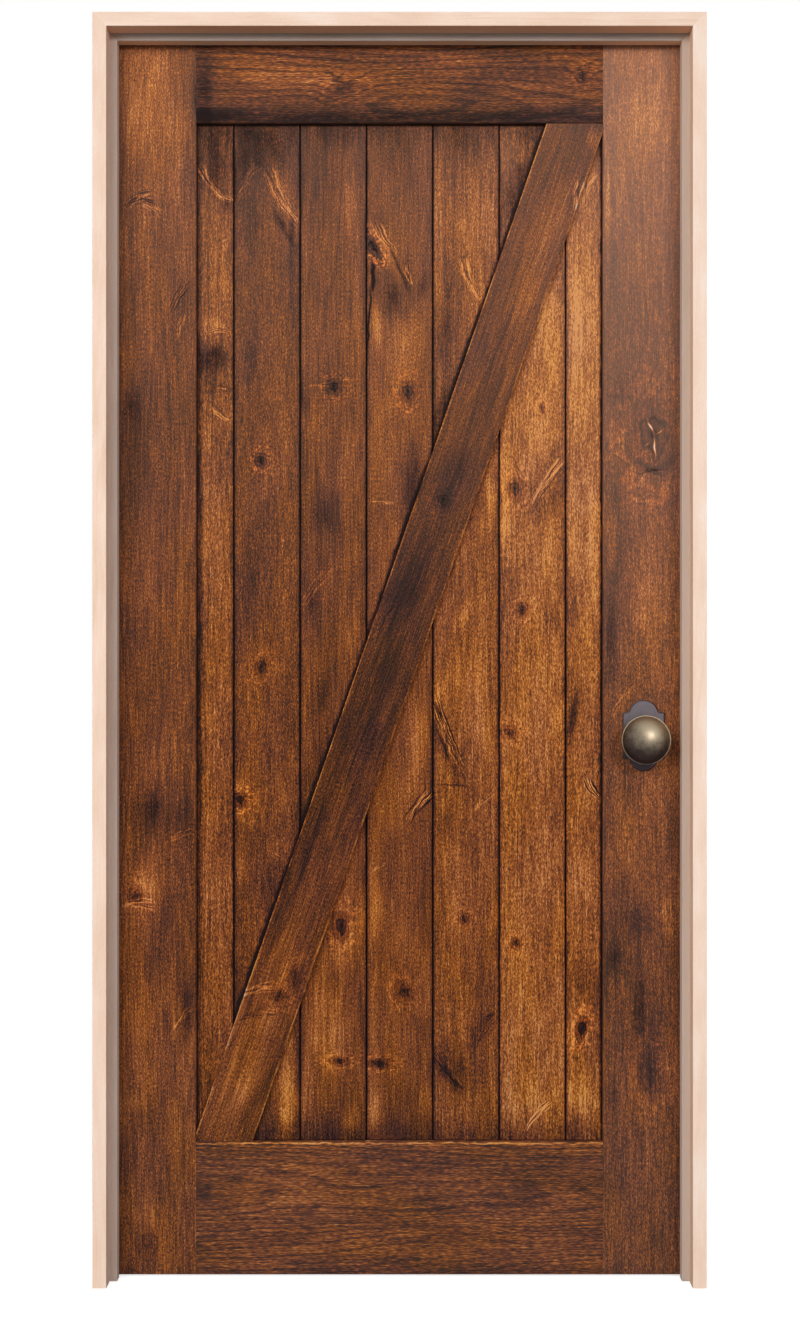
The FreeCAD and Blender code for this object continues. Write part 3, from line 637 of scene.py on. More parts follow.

# %% Smudges read from the photograph
# Most smudges are stain. The ones marked below are painted light and shade.
SMUDGES = {
    "hinge_stile": [
        # The second smudge on the next line, the pale top of the stile, is painted sheen.
        (150, 810, 30, 46, 0, 0.25), (155, 110, 60, 130, 0, -0.16), (150, 195, 26, 20, 0, -0.08),
        (185, 300, 16, 60, 0, 0.12), (135, 430, 28, 120, 0, 0.13), (150, 460, 55, 150, 0, 0.05),
        (132, 406, 18, 30, 0, 0.12), (197, 95, 10, 70, 0, 0.20), (185, 820, 22, 60, 0, 0.16),
        (188, 1010, 12, 56, 0, 0.16), (140, 885, 40, 36, 0, -0.18), (150, 1060, 55, 120, 0, -0.10),
        (132, 1120, 22, 40, 0, 0.06), (134, 1103, 20, 14, 0, -0.12), (128, 620, 10, 120, 0, 0.06),
        (150, 203, 22, 16, 0, 0.12), (130, 885, 8, 24, 0, 0.14), (186, 1005, 12, 50, 0, 0.08),
        (131, 112, 13, 95, 0, -0.15),
    ],
    "lock_stile": [
        # The first smudge on the next line, a pale strip beside the panel, is a painted highlight.
        (608, 200, 5, 70, 0, -0.30), (638, 462, 7, 20, -58, 0.22), (668, 463, 7, 20, 60, 0.20),
        (653, 470, 8, 20, 90, 0.26), (651, 427, 1.7, 13, -26, -1.20), (655, 447, 1.7, 17, -2, -1.20),
        (647, 444, 1.2, 6, 50, -0.70), (660, 432, 1.2, 7, 58, -0.70), (650, 1030, 30, 40, 0, 0.10),
        # The first smudge on the next line, the pale top of the stile, is painted sheen.
        (645, 110, 100, 190, 0, -0.18), (650, 320, 60, 90, 0, 0.05), (612, 200, 9, 160, 0, 0.10),
        (645, 480, 50, 60, 0, -0.10), (650, 600, 50, 130, 0, -0.15), (612, 640, 14, 110, 0, 0.22),
        (618, 560, 10, 60, 0, 0.10), (655, 760, 34, 70, 0, -0.12), (628, 840, 36, 80, 0, -0.09),
        (634, 925, 36, 34, 35, 0.16), (664, 916, 16, 32, 0, -0.11), (650, 1000, 55, 60, 0, 0.07),
        (614, 958, 16, 36, 0, 0.22), (639, 1005, 12, 64, 0, 0.20), (650, 1240, 60, 50, 0, 0.03),
        (622, 890, 14, 44, 0, 0.12), (668, 674, 26, 30, 0, -0.15), (622, 388, 24, 36, 0, 0.15),
        (614, 496, 12, 30, 0, 0.12), (613, 1096, 14, 32, 0, 0.12),
    ],
    "top_rail": [
        # The first smudge on the next line, a dark band along the rail's foot, is painted shade.
        (400, 117, 20, 900, 90, 0.26), (205, 85, 18, 60, 0, 0.22), (480, 85, 26, 46, 90, 0.10),
        (290, 72, 26, 150, 90, -0.12), (570, 90, 20, 60, 90, 0.05), (592, 110, 12, 24, 90, -0.14),
    ],
    "bottom_rail": [
        # The first smudge on the next line, a pale line on the rail's top arris, is a painted highlight.
        (400, 1143.5, 1.6, 900, 90, -0.40), (400, 1272, 7, 700, 90, 0.12),
        (290, 1180, 34, 120, 90, -0.07), (420, 1160, 22, 90, 90, 0.05), (540, 1180, 26, 90, 90, 0.06),
        (500, 1220, 16, 110, 90, -0.06), (380, 1262, 14, 120, 90, 0.07),
    ],
    "plank_1": [
        (210, 375, 22, 60, 0, 0.10), (215, 165, 34, 60, 0, 0.26), (220, 270, 16, 60, 0, -0.08),
        (214, 360, 34, 26, 0, 0.22), (216, 388, 30, 12, 0, 0.12), (212, 500, 16, 90, 0, -0.06),
        # The second smudge on the next line, a dark line at the panel's edge, is the stile's painted shadow.
        (216, 800, 14, 320, 0, -0.05), (200, 600, 4, 700, 0, 0.24), (215, 1090, 34, 60, 0, 0.12),
        (226, 205, 8, 26, 0, 0.20), (214, 322, 18, 11, 0, -0.20), (217, 352, 16, 14, 0, 0.14),
        (216, 190, 10, 26, 0, 0.08),
    ],
    "plank_2": [
        (240, 190, 18, 60, 0, 0.12), (288, 1090, 16, 70, 0, -0.32), (262, 158, 60, 50, 0, 0.20),
        (255, 225, 20, 60, 0, 0.10), (253, 380, 14, 150, 0, 0.13), (288, 200, 14, 60, -25, -0.12),
        (281, 224, 7, 40, -28, 0.22), (282, 400, 14, 130, 0, -0.07), (252, 560, 16, 120, 0, 0.12),
        (280, 620, 20, 90, 0, -0.03), (262, 895, 22, 50, 0, 0.08), (244, 800, 14, 40, 0, -0.08),
        (278, 845, 14, 18, 30, -0.14), (293, 290, 8, 110, 0, 0.12), (292, 230, 6, 36, 0, 0.18),
        (288, 1040, 10, 44, 0, -0.15), (241, 870, 12, 44, 0, -0.17), (284, 795, 12, 32, 0, -0.14),
        (284, 1120, 14, 24, 0, -0.16),
    ],
    "plank_3": [
        (306, 1085, 12, 60, 0, -0.16), (325, 690, 16, 60, 18, 0.18), (330, 185, 50, 100, 0, 0.10),
        (330, 385, 46, 24, 0, 0.14), (322, 515, 34, 36, 0, 0.16), (350, 460, 16, 80, 0, -0.06),
        (358, 330, 8, 70, 0, -0.14), (312, 600, 16, 44, 0, 0.17), (350, 620, 14, 70, 0, -0.05),
        (322, 745, 20, 90, 18, 0.14), (347, 940, 26, 80, 15, -0.15), (330, 1030, 40, 130, 0, -0.20),
        (350, 1122, 16, 24, 0, -0.24), (306, 405, 12, 24, 0, 0.16), (350, 200, 14, 52, 0, -0.15),
    ],
    "plank_4": [
        (390, 285, 16, 40, 0, 0.10), (374, 1105, 14, 40, 0, -0.16), (412, 775, 12, 50, 19, -0.12),
        (378, 245, 20, 70, 0, 0.10), (373, 276, 3, 24, 0, 0.80), (369, 318, 1.6, 50, 3, 0.60),
        (366.5, 305, 2.5, 60, 1, -0.20), (386, 250, 9, 46, -26, -0.18), (396, 262, 3, 48, -24, 0.26),
        (393, 302, 20, 34, 0, 0.20), (405, 350, 36, 60, 0, -0.14), (398, 165, 36, 46, 0, 0.12),
        (408, 275, 12, 50, -10, 0.14), (412, 480, 14, 90, 8, 0.22), (385, 440, 20, 70, 0, -0.06),
        (418, 730, 16, 60, 10, -0.14), (375, 905, 12, 80, 0, -0.12), (400, 1090, 44, 60, 0, 0.04),
        (425, 870, 8, 120, 0, 0.08), (424, 275, 6, 26, 0, 0.12), (372, 1010, 8, 66, 0, -0.18),
        (377, 326, 10, 44, 0, -0.24), (374, 1118, 12, 26, 0, -0.14), (374, 1036, 10, 30, 0, -0.12),
        (423, 288, 9, 22, 15, 0.18), (415, 803, 1.8, 30, 37, 0.36), (421, 809, 1.8, 28, 40, 0.30),
    ],
    "plank_5": [
        (440, 690, 12, 50, 19, -0.14), (436, 215, 12, 70, 0, -0.12), (465, 155, 40, 44, 0, 0.12),
        (440, 410, 12, 60, 15, 0.24), (448, 300, 14, 90, 0, 0.14), (478, 220, 22, 130, 0, -0.08),
        (445, 340, 22, 50, 0, 0.12), (480, 700, 20, 130, 0, -0.10), (460, 630, 14, 60, 0, 0.08),
        (450, 755, 16, 80, -22, 0.20), (455, 1070, 34, 46, -30, 0.16), (485, 1000, 14, 70, 0, 0.06),
        (470, 1120, 40, 20, 0, -0.06), (437, 282, 8, 28, 0, -0.06), (490, 500, 8, 44, 0, -0.15),
        (450, 830, 14, 54, 0, 0.10), (484, 1025, 12, 40, 30, 0.12), (464, 616, 12, 28, 19, -0.22),
        (461, 226, 14, 28, 0, -0.13), (486, 525, 14, 30, 0, -0.15), (440, 712, 2.6, 18, -26, 0.42),
        (455, 754, 2, 42, -21, 0.40), (446, 752, 1.6, 38, -22, 0.26), (452, 785, 2, 26, 94, 0.26),
        (445, 1072, 9, 36, -38, 0.22),
    ],
    "plank_6": [
        (540, 430, 34, 70, 0, -0.15), (505, 480, 11, 60, 0, -0.18), (520, 185, 34, 90, 20, 0.26),
        (545, 360, 30, 120, 0, -0.08), (552, 500, 16, 36, 35, 0.16), (530, 540, 24, 40, 0, -0.08),
        (508, 660, 9, 140, 0, 0.10), (530, 900, 30, 70, 0, -0.06), (532, 1105, 34, 46, 0, -0.12),
        (545, 620, 14, 40, 0, 0.08), (506, 388, 10, 40, 0, -0.20), (556, 450, 10, 26, 30, 0.14),
        (510, 1095, 12, 44, 0, -0.12), (505, 527, 10, 30, 0, -0.22), (549, 300, 16, 60, 0, -0.14),
        (508, 392, 10, 34, 0, -0.10), (549, 555, 14, 64, 0, -0.16), (527, 465, 14, 26, 0, -0.13),
    ],
    "plank_7": [
        (575, 330, 14, 130, 0, -0.11), (595, 985, 12, 40, 0, 0.14), (585, 330, 20, 170, 0, -0.19),
        (592, 535, 14, 100, 0, -0.22), (572, 610, 9, 60, 0, 0.14), (572, 510, 10, 60, 0, -0.20),
        (583, 985, 10, 44, 0, 0.16), (573, 718, 9, 46, 8, 0.34), (598, 760, 6, 120, 0, 0.10),
        (596, 1030, 9, 60, 0, 0.14), (585, 1110, 24, 30, 0, -0.14), (600, 150, 10, 60, 0, 0.12),
        # The first smudge on the next line, a dark line at the panel's edge, is the stile's painted shadow.
        (602, 640, 3, 1600, 0, 0.45), (575, 548, 9, 40, 0, -0.16), (582, 1088, 16, 34, 0, -0.14),
        (577, 985, 8, 46, 0, 0.12), (570, 285, 7, 80, 0, -0.05), (574, 390, 14, 240, 0, -0.05),
        (571, 1096, 9, 34, 0, -0.14),
    ],
    "front_brace": [
        (428, 455, 11, 150, 19, 0.20), (385, 580, 8, 140, 19, 0.12), (312, 840, 8, 140, 19, 0.12),
        (550, 230, 38, 120, 19, -0.15), (520, 300, 22, 80, 19, -0.12), (452, 480, 34, 100, 19, 0.13),
        (410, 590, 36, 110, 19, 0.17), (375, 690, 34, 100, 19, 0.13), (425, 640, 8, 150, 19, 0.14),
        (505, 330, 6, 200, 19, 0.12), (240, 1060, 50, 140, 19, -0.22), (285, 955, 40, 110, 19, -0.12),
        (252, 1070, 8, 120, 19, -0.10), (504, 392, 7, 60, 19, -0.18), (594, 140, 12, 20, 0, -0.18),
    ],
    "back_brace": [(400, 650, 30, 160, 19, 0.12), (520, 300, 26, 90, 19, -0.10)],
}
# The brace's painted shadow on the planks beside its left edge: half width and half length in millimetres,
# lean and strength.
BRACE_EDGE_TOP, BRACE_EDGE_FOOT = (519, 200), (206, 1100)
BRACE_SHADOW_LINE = (4, 260, 19.2, 0.50)
PLANK_MIDDLES_PX = {2: 265, 3: 331, 4: 398, 5: 465, 6: 510}
for number, px in PLANK_MIDDLES_PX.items():
    share = (BRACE_EDGE_TOP[0] - px) / (BRACE_EDGE_TOP[0] - BRACE_EDGE_FOOT[0])
    py = BRACE_EDGE_TOP[1] + share * (BRACE_EDGE_FOOT[1] - BRACE_EDGE_TOP[1])
    SMUDGES[f"plank_{number}"].append((px, py, *BRACE_SHADOW_LINE))
print("smudges", sum(len(rows) for rows in SMUDGES.values()))

# %% [markdown]
# ## One material to a board
#
# A board's own directions come from a Mapping node that moves its middle to zero and turns its length
# upright. Texture type is used because it also divides by a size, so that a mark's edge comes out at 1.
# A little noise bends the coordinates that the marks use, so that no knot is a perfect oval.
#
# The leaf is darker and colder towards its foot, and the jamb beside it is not. This painted shade is laid on
# here, over the stain.

# %% Marks on a tree
MM_PER_METRE = 1000
EVERY_DEPTH = 1000
FEATHER_STEP = -3.7
KNOT_PULL = 0.0016
SWAY_SCALE, SWAY_REACH = 55.0, 0.007


def local_place(tree, place, centre, lean, size):
    """Coordinates from a centre, with the length turned upright, counted in a mark's or board's own size."""
    inputs = {"Vector": place, "Location": centre, "Rotation": (0, lean, 0), "Scale": size}
    return tree.add("ShaderNodeMapping", inputs, vector_type="TEXTURE").outputs[0]


def sway(tree, place):
    """Coordinates bent a little by noise."""
    noise = tree.add("ShaderNodeTexNoise", {"Vector": place, "Scale": SWAY_SCALE, "Detail": 1.0}).outputs[1]
    start = tree.shift(place, (-SWAY_REACH / 2, 0.0, -SWAY_REACH / 2))
    return tree.vector("MULTIPLY_ADD", {0: noise, 1: (SWAY_REACH, 0.0, SWAY_REACH), 2: start})


def mark_place(tree, place, mark, depth, through=0, reach=EVERY_DEPTH):
    """A mark's own coordinates. One that reaches far through the board is the same at every depth."""
    px, py, wide, long, lean, _ = mark
    x, z = seen_at(px, py, depth)
    size = (wide / MM_PER_METRE, reach, long / MM_PER_METRE)
    return local_place(tree, place, (x, through, z), math.radians(lean), size)


def add_marks(tree, place, name, depth, patchy):
    """Chains a board's smudges, feathers and knots, and returns its shade, glow and bend."""
    shade, glow, bend = 0.0, 0.0, 0.0
    for mark in SMUDGES.get(name, []):
        inputs = {"Local": mark_place(tree, place, mark, depth), "Strength": mark[5]}
        shade = tree.group(smudge_group, {**inputs, "Patchy": patchy, "Shade": shade})["Shade"]
    for count, mark in enumerate(FEATHERS.get(name, [])):
        inputs = {"Local": mark_place(tree, place, mark, depth, FEATHER_STEP * count, 1), "Lift": mark[5]}
        done = tree.group(feather_group, {**inputs, "Shade": shade, "Glow": glow})
        shade, glow = done["Shade"], done["Glow"]
    for mark in KNOTS.get(name, []):
        inputs = {"Local": mark_place(tree, place, mark, depth), "Strength": mark[5]}
        inputs["Pull"] = KNOT_PULL * mark[2]
        done = tree.group(knot_group, {**inputs, "Shade": shade, "Glow": glow, "Bend": bend})
        shade, glow, bend = done["Shade"], done["Glow"], done["Bend"]
    return shade, glow, bend


print("boards with marks:", len(SMUDGES))

# %% One board
PATCH_LUMP = (0.016, 0.045)
SHEEN_START, SHEEN_FULL = 0.7, 2.0
# Painted shade: the leaf darker and colder towards its foot.
FOOT_SHADE_TINT, FOOT_SHADE_START, FOOT_SHADE_END = (1.0, 1.07, 1.22, 1.0), 0.10, 0.50
FOOT_SHADE_SHARE, SHADE_LIFT_PER_METRE = 0.825, 0.125
ALDER_RELIEF, ALDER_SHINE = 0.0006, 0.08


def rings(width, taper, depth, stretch=1.0):
    """A board's rings: their width in metres, taper and darkness, and how far its fibres are drawn out."""
    return {"width": width, "taper": taper, "depth": depth, "stretch": stretch}


def alder_board(name, box, lean, width, depth, grown, wear_and_light):
    """The material of one board, from its box, lean and width, how it grew, how its stain has worn, and its
    painted sheen and highlights.
    """
    material, tree, shader, place = new_material(f"alder_{name}")
    low, high = box
    tone, pith, year_rings, seed = grown
    size = high - low
    length = abs(size.x * math.sin(lean)) + abs(size.z * math.cos(lean))
    board = local_place(tree, place, (low + high) / 2, lean, (1, 1, 1))
    patchy = tree.noise(tree.cells(tree.shift(board, (seed, 0.3, seed)), *PATCH_LUMP), 2.0, 0.6)
    shade, glow, bend = add_marks(tree, sway(tree, place), name, depth, patchy)
    figure_inputs = {
        "Board": board,
        "Seed": (seed, seed * 1.7, seed * 2.3),
        "Pith Across": pith[0],
        "Pith Depth": pith[1],
        "Ring Width": year_rings["width"],
        "Taper": year_rings["taper"],
        "Bend": bend,
        "Stretch": year_rings["stretch"],
    }
    figure = tree.group(figure_group, figure_inputs)
    edge_inputs = {
        "Board": board,
        "Patchy": patchy,
        "Half Width": width / 2,
        "Half Length": length / 2,
        "Side Band": wear_and_light["side_band"],
        "End Band": wear_and_light["end_band"],
        "Line Width": wear_and_light["line"],
    }
    edges = tree.group(edges_group, edge_inputs)
    shade = tree.total(
        shade,
        tree.times(edges["Side Line"], wear_and_light["side_dark"]),
        tree.times(edges["End Line"], wear_and_light["end_dark"]),
        tree.times(edges["Band"], wear_and_light["band_dark"]),
        # Paler arrises: wear, and a painted highlight where the light catches the edge.
        tree.times(edges["Arris Wear And Highlight"], -wear_and_light["arris_wear_and_highlight"]),
    )
    height = tree.split(place)[2]
    stain_inputs = {label: figure[label] for label in ("Rings", "Fibre", "Streak", "Speck", "Drift", "Hue")}
    stain_inputs["Tone"] = tone
    stain_inputs["Ring Depth"] = year_rings["depth"]
    stain_inputs["Shade"] = shade
    stain_inputs["Glow"] = glow
    # The painted sheen rises with height.
    stain_inputs["Painted Sheen"] = tree.ramp(height, SHEEN_START, SHEEN_FULL, *wear_and_light["painted_sheen"])
    stain = tree.group(stain_group, stain_inputs)
    # Painted shade, darker and colder towards the foot of the leaf.
    foot_shade_tint = tree.mix(tree.ramp(height, FOOT_SHADE_START, FOOT_SHADE_END), FOOT_SHADE_TINT, WHITE)
    foot_shaded = tree.tint(1.0, stain["Colour"], foot_shade_tint)
    foot_shaded = tree.tint(1.0, foot_shaded, tree.total(FOOT_SHADE_SHARE, tree.times(height, SHADE_LIFT_PER_METRE)))
    dress(shader, tree, foot_shaded, stain["Roughness"], stain["Height"], ALDER_RELIEF)
    shader.inputs["Specular IOR Level"].default_value = ALDER_SHINE
    return material


print("bloom from", SHEEN_START, "to", SHEEN_FULL, "metres up")

# %% Stiles and rails
FRAME_WEAR_AND_LIGHT = {
    "side_band": 0.004,
    "end_band": 0.014,
    "band_dark": 0.10,
    "line": 0.0012,
    "side_dark": 0.12,
    "end_dark": 0.30,
    "arris_wear_and_highlight": 0.22,
    "painted_sheen": (0.0, 0.13),
}
# Lean, how the board grew (tone, pith, rings and seed), and the painted sheen towards the top.
FRAME_BOARDS = {
    "hinge_stile": (0, (0.49, (0.05, 0.06), rings(0.0085, 0.010, 0.10), 1.3), (0.02, 0.12)),
    "lock_stile": (0, (0.47, (-0.03, 0.07), rings(0.0080, 0.012, 0.10), 2.9), (0.06, 0.34)),
    "top_rail": (90, (0.47, (0.05, 0.05), rings(0.0075, 0.020, 0.30, 2.4), 4.1), (0.0, 0.06)),
    "bottom_rail": (90, (0.485, (-0.027, 0.03), rings(0.0055, 0.030, 0.26, 2.4), 5.7), (0.04, 0.04)),
}
leaf_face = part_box("hinge_stile")[0].y
for name, (lean, grown, painted_sheen) in FRAME_BOARDS.items():
    low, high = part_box(name)
    width = high.z - low.z if lean else high.x - low.x
    wear_and_light = dict(FRAME_WEAR_AND_LIGHT, painted_sheen=painted_sheen, end_dark=FRAME_WEAR_AND_LIGHT["end_dark"] if lean else 0.0)
    give(name, alder_board(name, (low, high), math.radians(lean), width, leaf_face, grown, wear_and_light))
print("stiles and rails:", len(FRAME_BOARDS))

# %% Planks
PLANK_WEAR_AND_LIGHT = {
    "side_band": 0.004,
    "end_band": 0.040,
    "band_dark": 0.28,
    "line": 0.0010,
    "side_dark": 0.90,
    "end_dark": 0.40,
    "arris_wear_and_highlight": 0.0,
    "painted_sheen": (0.0, 0.12),
}
# Planks 6 and 7 get more painted sheen.
PLANK_SHEENS = {6: (0.0, 0.17), 7: (0.0, 0.22)}
PLANK_RING_DEPTH, STRONG_RING_DEPTHS = 0.09, {6: 0.13}
# Tone and pith of each plank, from the hinge side.
PLANKS = (
    (0.585, (0.06, 0.05)),
    (0.465, (-0.02, 0.06)),
    (0.495, (0.03, 0.08)),
    (0.54, (-0.05, 0.06)),
    (0.60, (0.01, 0.05)),
    (0.69, (0.04, 0.07)),
    (0.685, (-0.06, 0.06)),
)
panel_left, panel_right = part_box("hinge_stile")[1].x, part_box("lock_stile")[0].x
panel_foot, panel_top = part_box("bottom_rail")[1].z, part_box("top_rail")[0].z
plank_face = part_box("plank_4")[0].y
joints = [panel_left] + [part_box(f"plank_{number}")[0].x for number in range(2, 8)] + [panel_right]
for number, (tone, pith) in enumerate(PLANKS, start=1):
    name = f"plank_{number}"
    low = Vector((joints[number - 1], plank_face, panel_foot))
    high = Vector((joints[number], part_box(name)[1].y, panel_top))
    year_rings = rings(0.0064, 0.009, STRONG_RING_DEPTHS.get(number, PLANK_RING_DEPTH))
    grown = (tone, pith, year_rings, 7.3 + 1.9 * number)
    wear_and_light = dict(PLANK_WEAR_AND_LIGHT, painted_sheen=PLANK_SHEENS.get(number, PLANK_WEAR_AND_LIGHT["painted_sheen"]))
    give(name, alder_board(name, (low, high), 0, high.x - low.x, plank_face, grown, wear_and_light))
print("planks:", len(PLANKS), "joints at", [round(x, 3) for x in joints])

# %% Braces
BRACE_LEAN, BRACE_WIDTH = math.radians(19.16), 0.090
BRACE_PITH, BRACE_RINGS = (0.02, 0.07), rings(0.0080, 0.012, 0.08)
BRACE_WEAR_AND_LIGHT = dict(FRAME_WEAR_AND_LIGHT, side_dark=0.0, arris_wear_and_highlight=0.70)
BRACES = {"front_brace": (0.375, 23.1), "back_brace": (0.42, 27.7)}
brace_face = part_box("front_brace")[0].y
for name, (tone, seed) in BRACES.items():
    grown = (tone, BRACE_PITH, BRACE_RINGS, seed)
    give(name, alder_board(name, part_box(name), BRACE_LEAN, BRACE_WIDTH, brace_face, grown, BRACE_WEAR_AND_LIGHT))
print("braces:", len(BRACES))

# %% [markdown]
# ## The pale jamb
#
# The jamb and its stops are sanded and left bare: a close, pale, faintly pink wood. There is no stain to
# show the figure, so the same figure group is used at a whisper, and the surface is dry and matt.
#
# The fronts of the jamb face the light and the returns behind them catch what comes off the leaf and the
# floor. That light and shade is painted in: each piece has one tint for its front and one for the rest, so
# the two can be matched apart, and the stops are painted darker and greyer throughout, as shade.

# %% Bare maple
BARE_STOPS = {0.0: (220, 179, 150), 0.45: (240, 207, 183), 0.75: (251, 223, 203), 1.0: (255, 239, 225)}
# Painted shade: the stops' colours, darker and greyer than the jamb's.
SHADED_STOPS = {0.0: (178, 154, 141), 0.45: (202, 180, 167), 1.0: (216, 197, 187)}
BARE_SHARES = {"Drift": 0.7, "Fibre": 0.35, "Speck": 0.25}
BARE_RING_SHARE = -0.12
FRONT_SKIN, SKIN_EDGE = 0.0005, 0.0015
MAPLE_RELIEF, MAPLE_SHINE = 0.0003, 0.02


def bare_maple(name, lean, seed, tone, stops, front_painted_light, return_painted_light):
    """Bare wood for one leg of the jamb, with its grain along the leg and painted light: one tint for its
    front and one for its returns.
    """
    material, tree, shader, place = new_material(f"maple_{name}")
    low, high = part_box(name)
    figure_inputs = {
        "Board": local_place(tree, place, (low + high) / 2, lean, (1, 1, 1)),
        "Seed": (seed, seed * 1.3, seed * 2.1),
        "Pith Across": 0.05,
        "Pith Depth": 0.09,
        "Ring Width": 0.006,
        "Taper": 0.01,
        "Bend": 0.0,
        "Stretch": 1.0,
    }
    figure = tree.group(figure_group, figure_inputs)
    shown = tree.total(
        tone,
        tree.times(figure["Rings"], BARE_RING_SHARE),
        *[tree.times(tree.swing(figure[label]), share) for label, share in BARE_SHARES.items()],
    )
    rough = tree.total(0.52, tree.times(figure["Fibre"], 0.2))
    # The returns behind the front skin get their own painted light tint.
    behind = tree.ramp(tree.split(place)[1], low.y + FRONT_SKIN, low.y + SKIN_EDGE)
    painted_lit = tree.tint(1.0, colour_ramp(tree, shown, stops), tree.mix(behind, front_painted_light, return_painted_light))
    dress(shader, tree, painted_lit, rough, figure["Fibre"], MAPLE_RELIEF)
    shader.inputs["Specular IOR Level"].default_value = MAPLE_SHINE
    return material


# Lean, seed, tone, colours, painted light tint of the front and painted light tint of the returns. The stops'
# low tones are painted shade.
JAMB_PIECES = {
    "hinge_jamb": (0, 31.0, 0.64, BARE_STOPS, WHITE, WHITE),
    "strike_jamb": (0, 33.0, 0.74, BARE_STOPS, WHITE, (1.0, 0.97, 0.90, 1.0)),
    "head_jamb": (90, 35.0, 0.68, BARE_STOPS, WHITE, (0.93, 0.80, 0.68, 1.0)),
    "hinge_stop": (0, 37.0, 0.55, SHADED_STOPS, WHITE, (1.15, 1.12, 1.08, 1.0)),
    "strike_stop": (0, 39.0, 1.00, SHADED_STOPS, (0.98, 0.95, 0.88, 1.0), (1.10, 1.06, 1.00, 1.0)),
    "head_stop": (90, 41.0, 0.50, SHADED_STOPS, (0.78, 0.83, 0.85, 1.0), (1.36, 1.22, 0.98, 1.0)),
}
for name, (lean, *finish) in JAMB_PIECES.items():
    give(name, bare_maple(name, math.radians(lean), *finish))
print("bare pieces:", len(JAMB_PIECES))

# %% [markdown]
# ## Aged bronze
#
# The knob and its plate are cast and darkened. Hands rub the high places bright again and leave the dark in
# the hollows. A mottle at three sizes gives the casting and the patina. On the knob, painted light is added
# to
# the rubbing: a painted highlight at the upper right, painted top light that leaves it darker underneath, and
# a painted highlight along the rim. The plate has a painted shadow below the knob.

# %% Group: Bronze Patina
CLOUD_SHARE, GRAIN_SHARE, PIT_SHARE = 0.55, 0.20, -0.12
GRAIN_SCALE, PIT_SCALE = 900.0, 420.0
patina_group, tree, given, result = new_group(
    "Bronze Patina",
    {"Place": "vector", "Rub And Light": "value", "Dark": "colour", "Bright": "colour", "Lump": "value"},
    {"Colour": "colour"} | values("Roughness", "Height"),
)
cloud = tree.noise(tree.vector("SCALE", {0: given["Place"], "Scale": given["Lump"]}), 4.0, 0.62)
grain_inputs = {"Vector": given["Place"], "Scale": GRAIN_SCALE, "Detail": 2.0}
grain = tree.add("ShaderNodeTexNoise", grain_inputs).outputs[0]
pit_noise = tree.add("ShaderNodeTexNoise", {"Vector": given["Place"], "Scale": PIT_SCALE}).outputs[0]
pits = tree.ramp(pit_noise, 0.30, 0.40, 1.0, 0.0)
# Rub And Light holds the rubbing, and on the knob and its plate also painted light and shade.
rub_and_light_sum = tree.total(
    given["Rub And Light"],
    tree.times(tree.swing(cloud), CLOUD_SHARE),
    tree.times(tree.swing(grain), GRAIN_SHARE),
    tree.times(pits, PIT_SHARE),
)
rub_and_light = tree.ramp(rub_and_light_sum, 0.0, 1.0)
send(
    tree,
    {
        "Colour": tree.mix(rub_and_light, given["Dark"], given["Bright"]),
        "Roughness": tree.total(0.54, tree.times(rub_and_light, -0.14), tree.times(grain, 0.08)),
        "Height": tree.total(tree.times(cloud, 0.5), tree.times(grain, 0.3), tree.times(pits, -0.6)),
    },
    result,
)
print("patina group:", len(patina_group.nodes), "nodes")

# %% Bronzes
BRONZE_RELIEF = 0.00006
EVENLY_RUBBED = 0.5
# The painted highlight on the knob: its place from the middle and its reach, in metres.
HIGHLIGHT_PLACE, HIGHLIGHT_REACH = (0.008, 0.017), 0.026
RIM_HIGHLIGHT_WIDTH = 0.0022
KNOB_RUB, HIGHLIGHT_SHARE, TOP_LIGHT_SHARE, RIM_HIGHLIGHT_SHARE = 0.20, 0.74, 0.30, 0.38
knob_low, knob_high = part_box("front_knob")
knob_middle = (knob_low + knob_high) / 2
knob_radius = (knob_high.x - knob_low.x) / 2


def bronze_finish(parts, dark, bright, rub_and_light, lump):
    """A bronze between two screen colours, by how far it is rubbed, with painted light and shade on the knob
    and its plate.
    """
    material, tree, shader, place = parts
    inputs = {"Place": place, "Rub And Light": rub_and_light, "Dark": srgb(*dark), "Bright": srgb(*bright), "Lump": lump}
    patina = tree.group(patina_group, inputs)
    dress(shader, tree, patina["Colour"], patina["Roughness"], patina["Height"], BRONZE_RELIEF)
    shader.inputs["Metallic"].default_value = 1.0
    return material


def knob_rub_and_painted_light(tree, place):
    """How far a knob is rubbed, with painted light added: a painted highlight at the upper right, painted top
    light that leaves it darker below, and a painted highlight along its rim.
    """
    x, _, z = tree.split(tree.vector("SUBTRACT", {0: place, 1: knob_middle}))
    to_highlight = tree.distance(tree.less(x, HIGHLIGHT_PLACE[0]), tree.less(z, HIGHLIGHT_PLACE[1]))
    # A painted highlight along the rim.
    rim = tree.ramp(tree.distance(x, z), knob_radius - RIM_HIGHLIGHT_WIDTH, knob_radius - RIM_HIGHLIGHT_WIDTH / 2)
    return tree.total(
        KNOB_RUB,
        tree.times(tree.bell(to_highlight, HIGHLIGHT_REACH), HIGHLIGHT_SHARE),
        tree.times(z, TOP_LIGHT_SHARE / knob_radius),
        tree.times(rim, RIM_HIGHLIGHT_SHARE),
    )


def plate_painted_shadow(tree, place):
    """A painted shadow of the knob on its plate: darker below the knob."""
    upright = tree.less(tree.split(place)[2], knob_middle.z)
    return tree.ramp(upright, -0.060, 0.045, 0.05, 0.75)


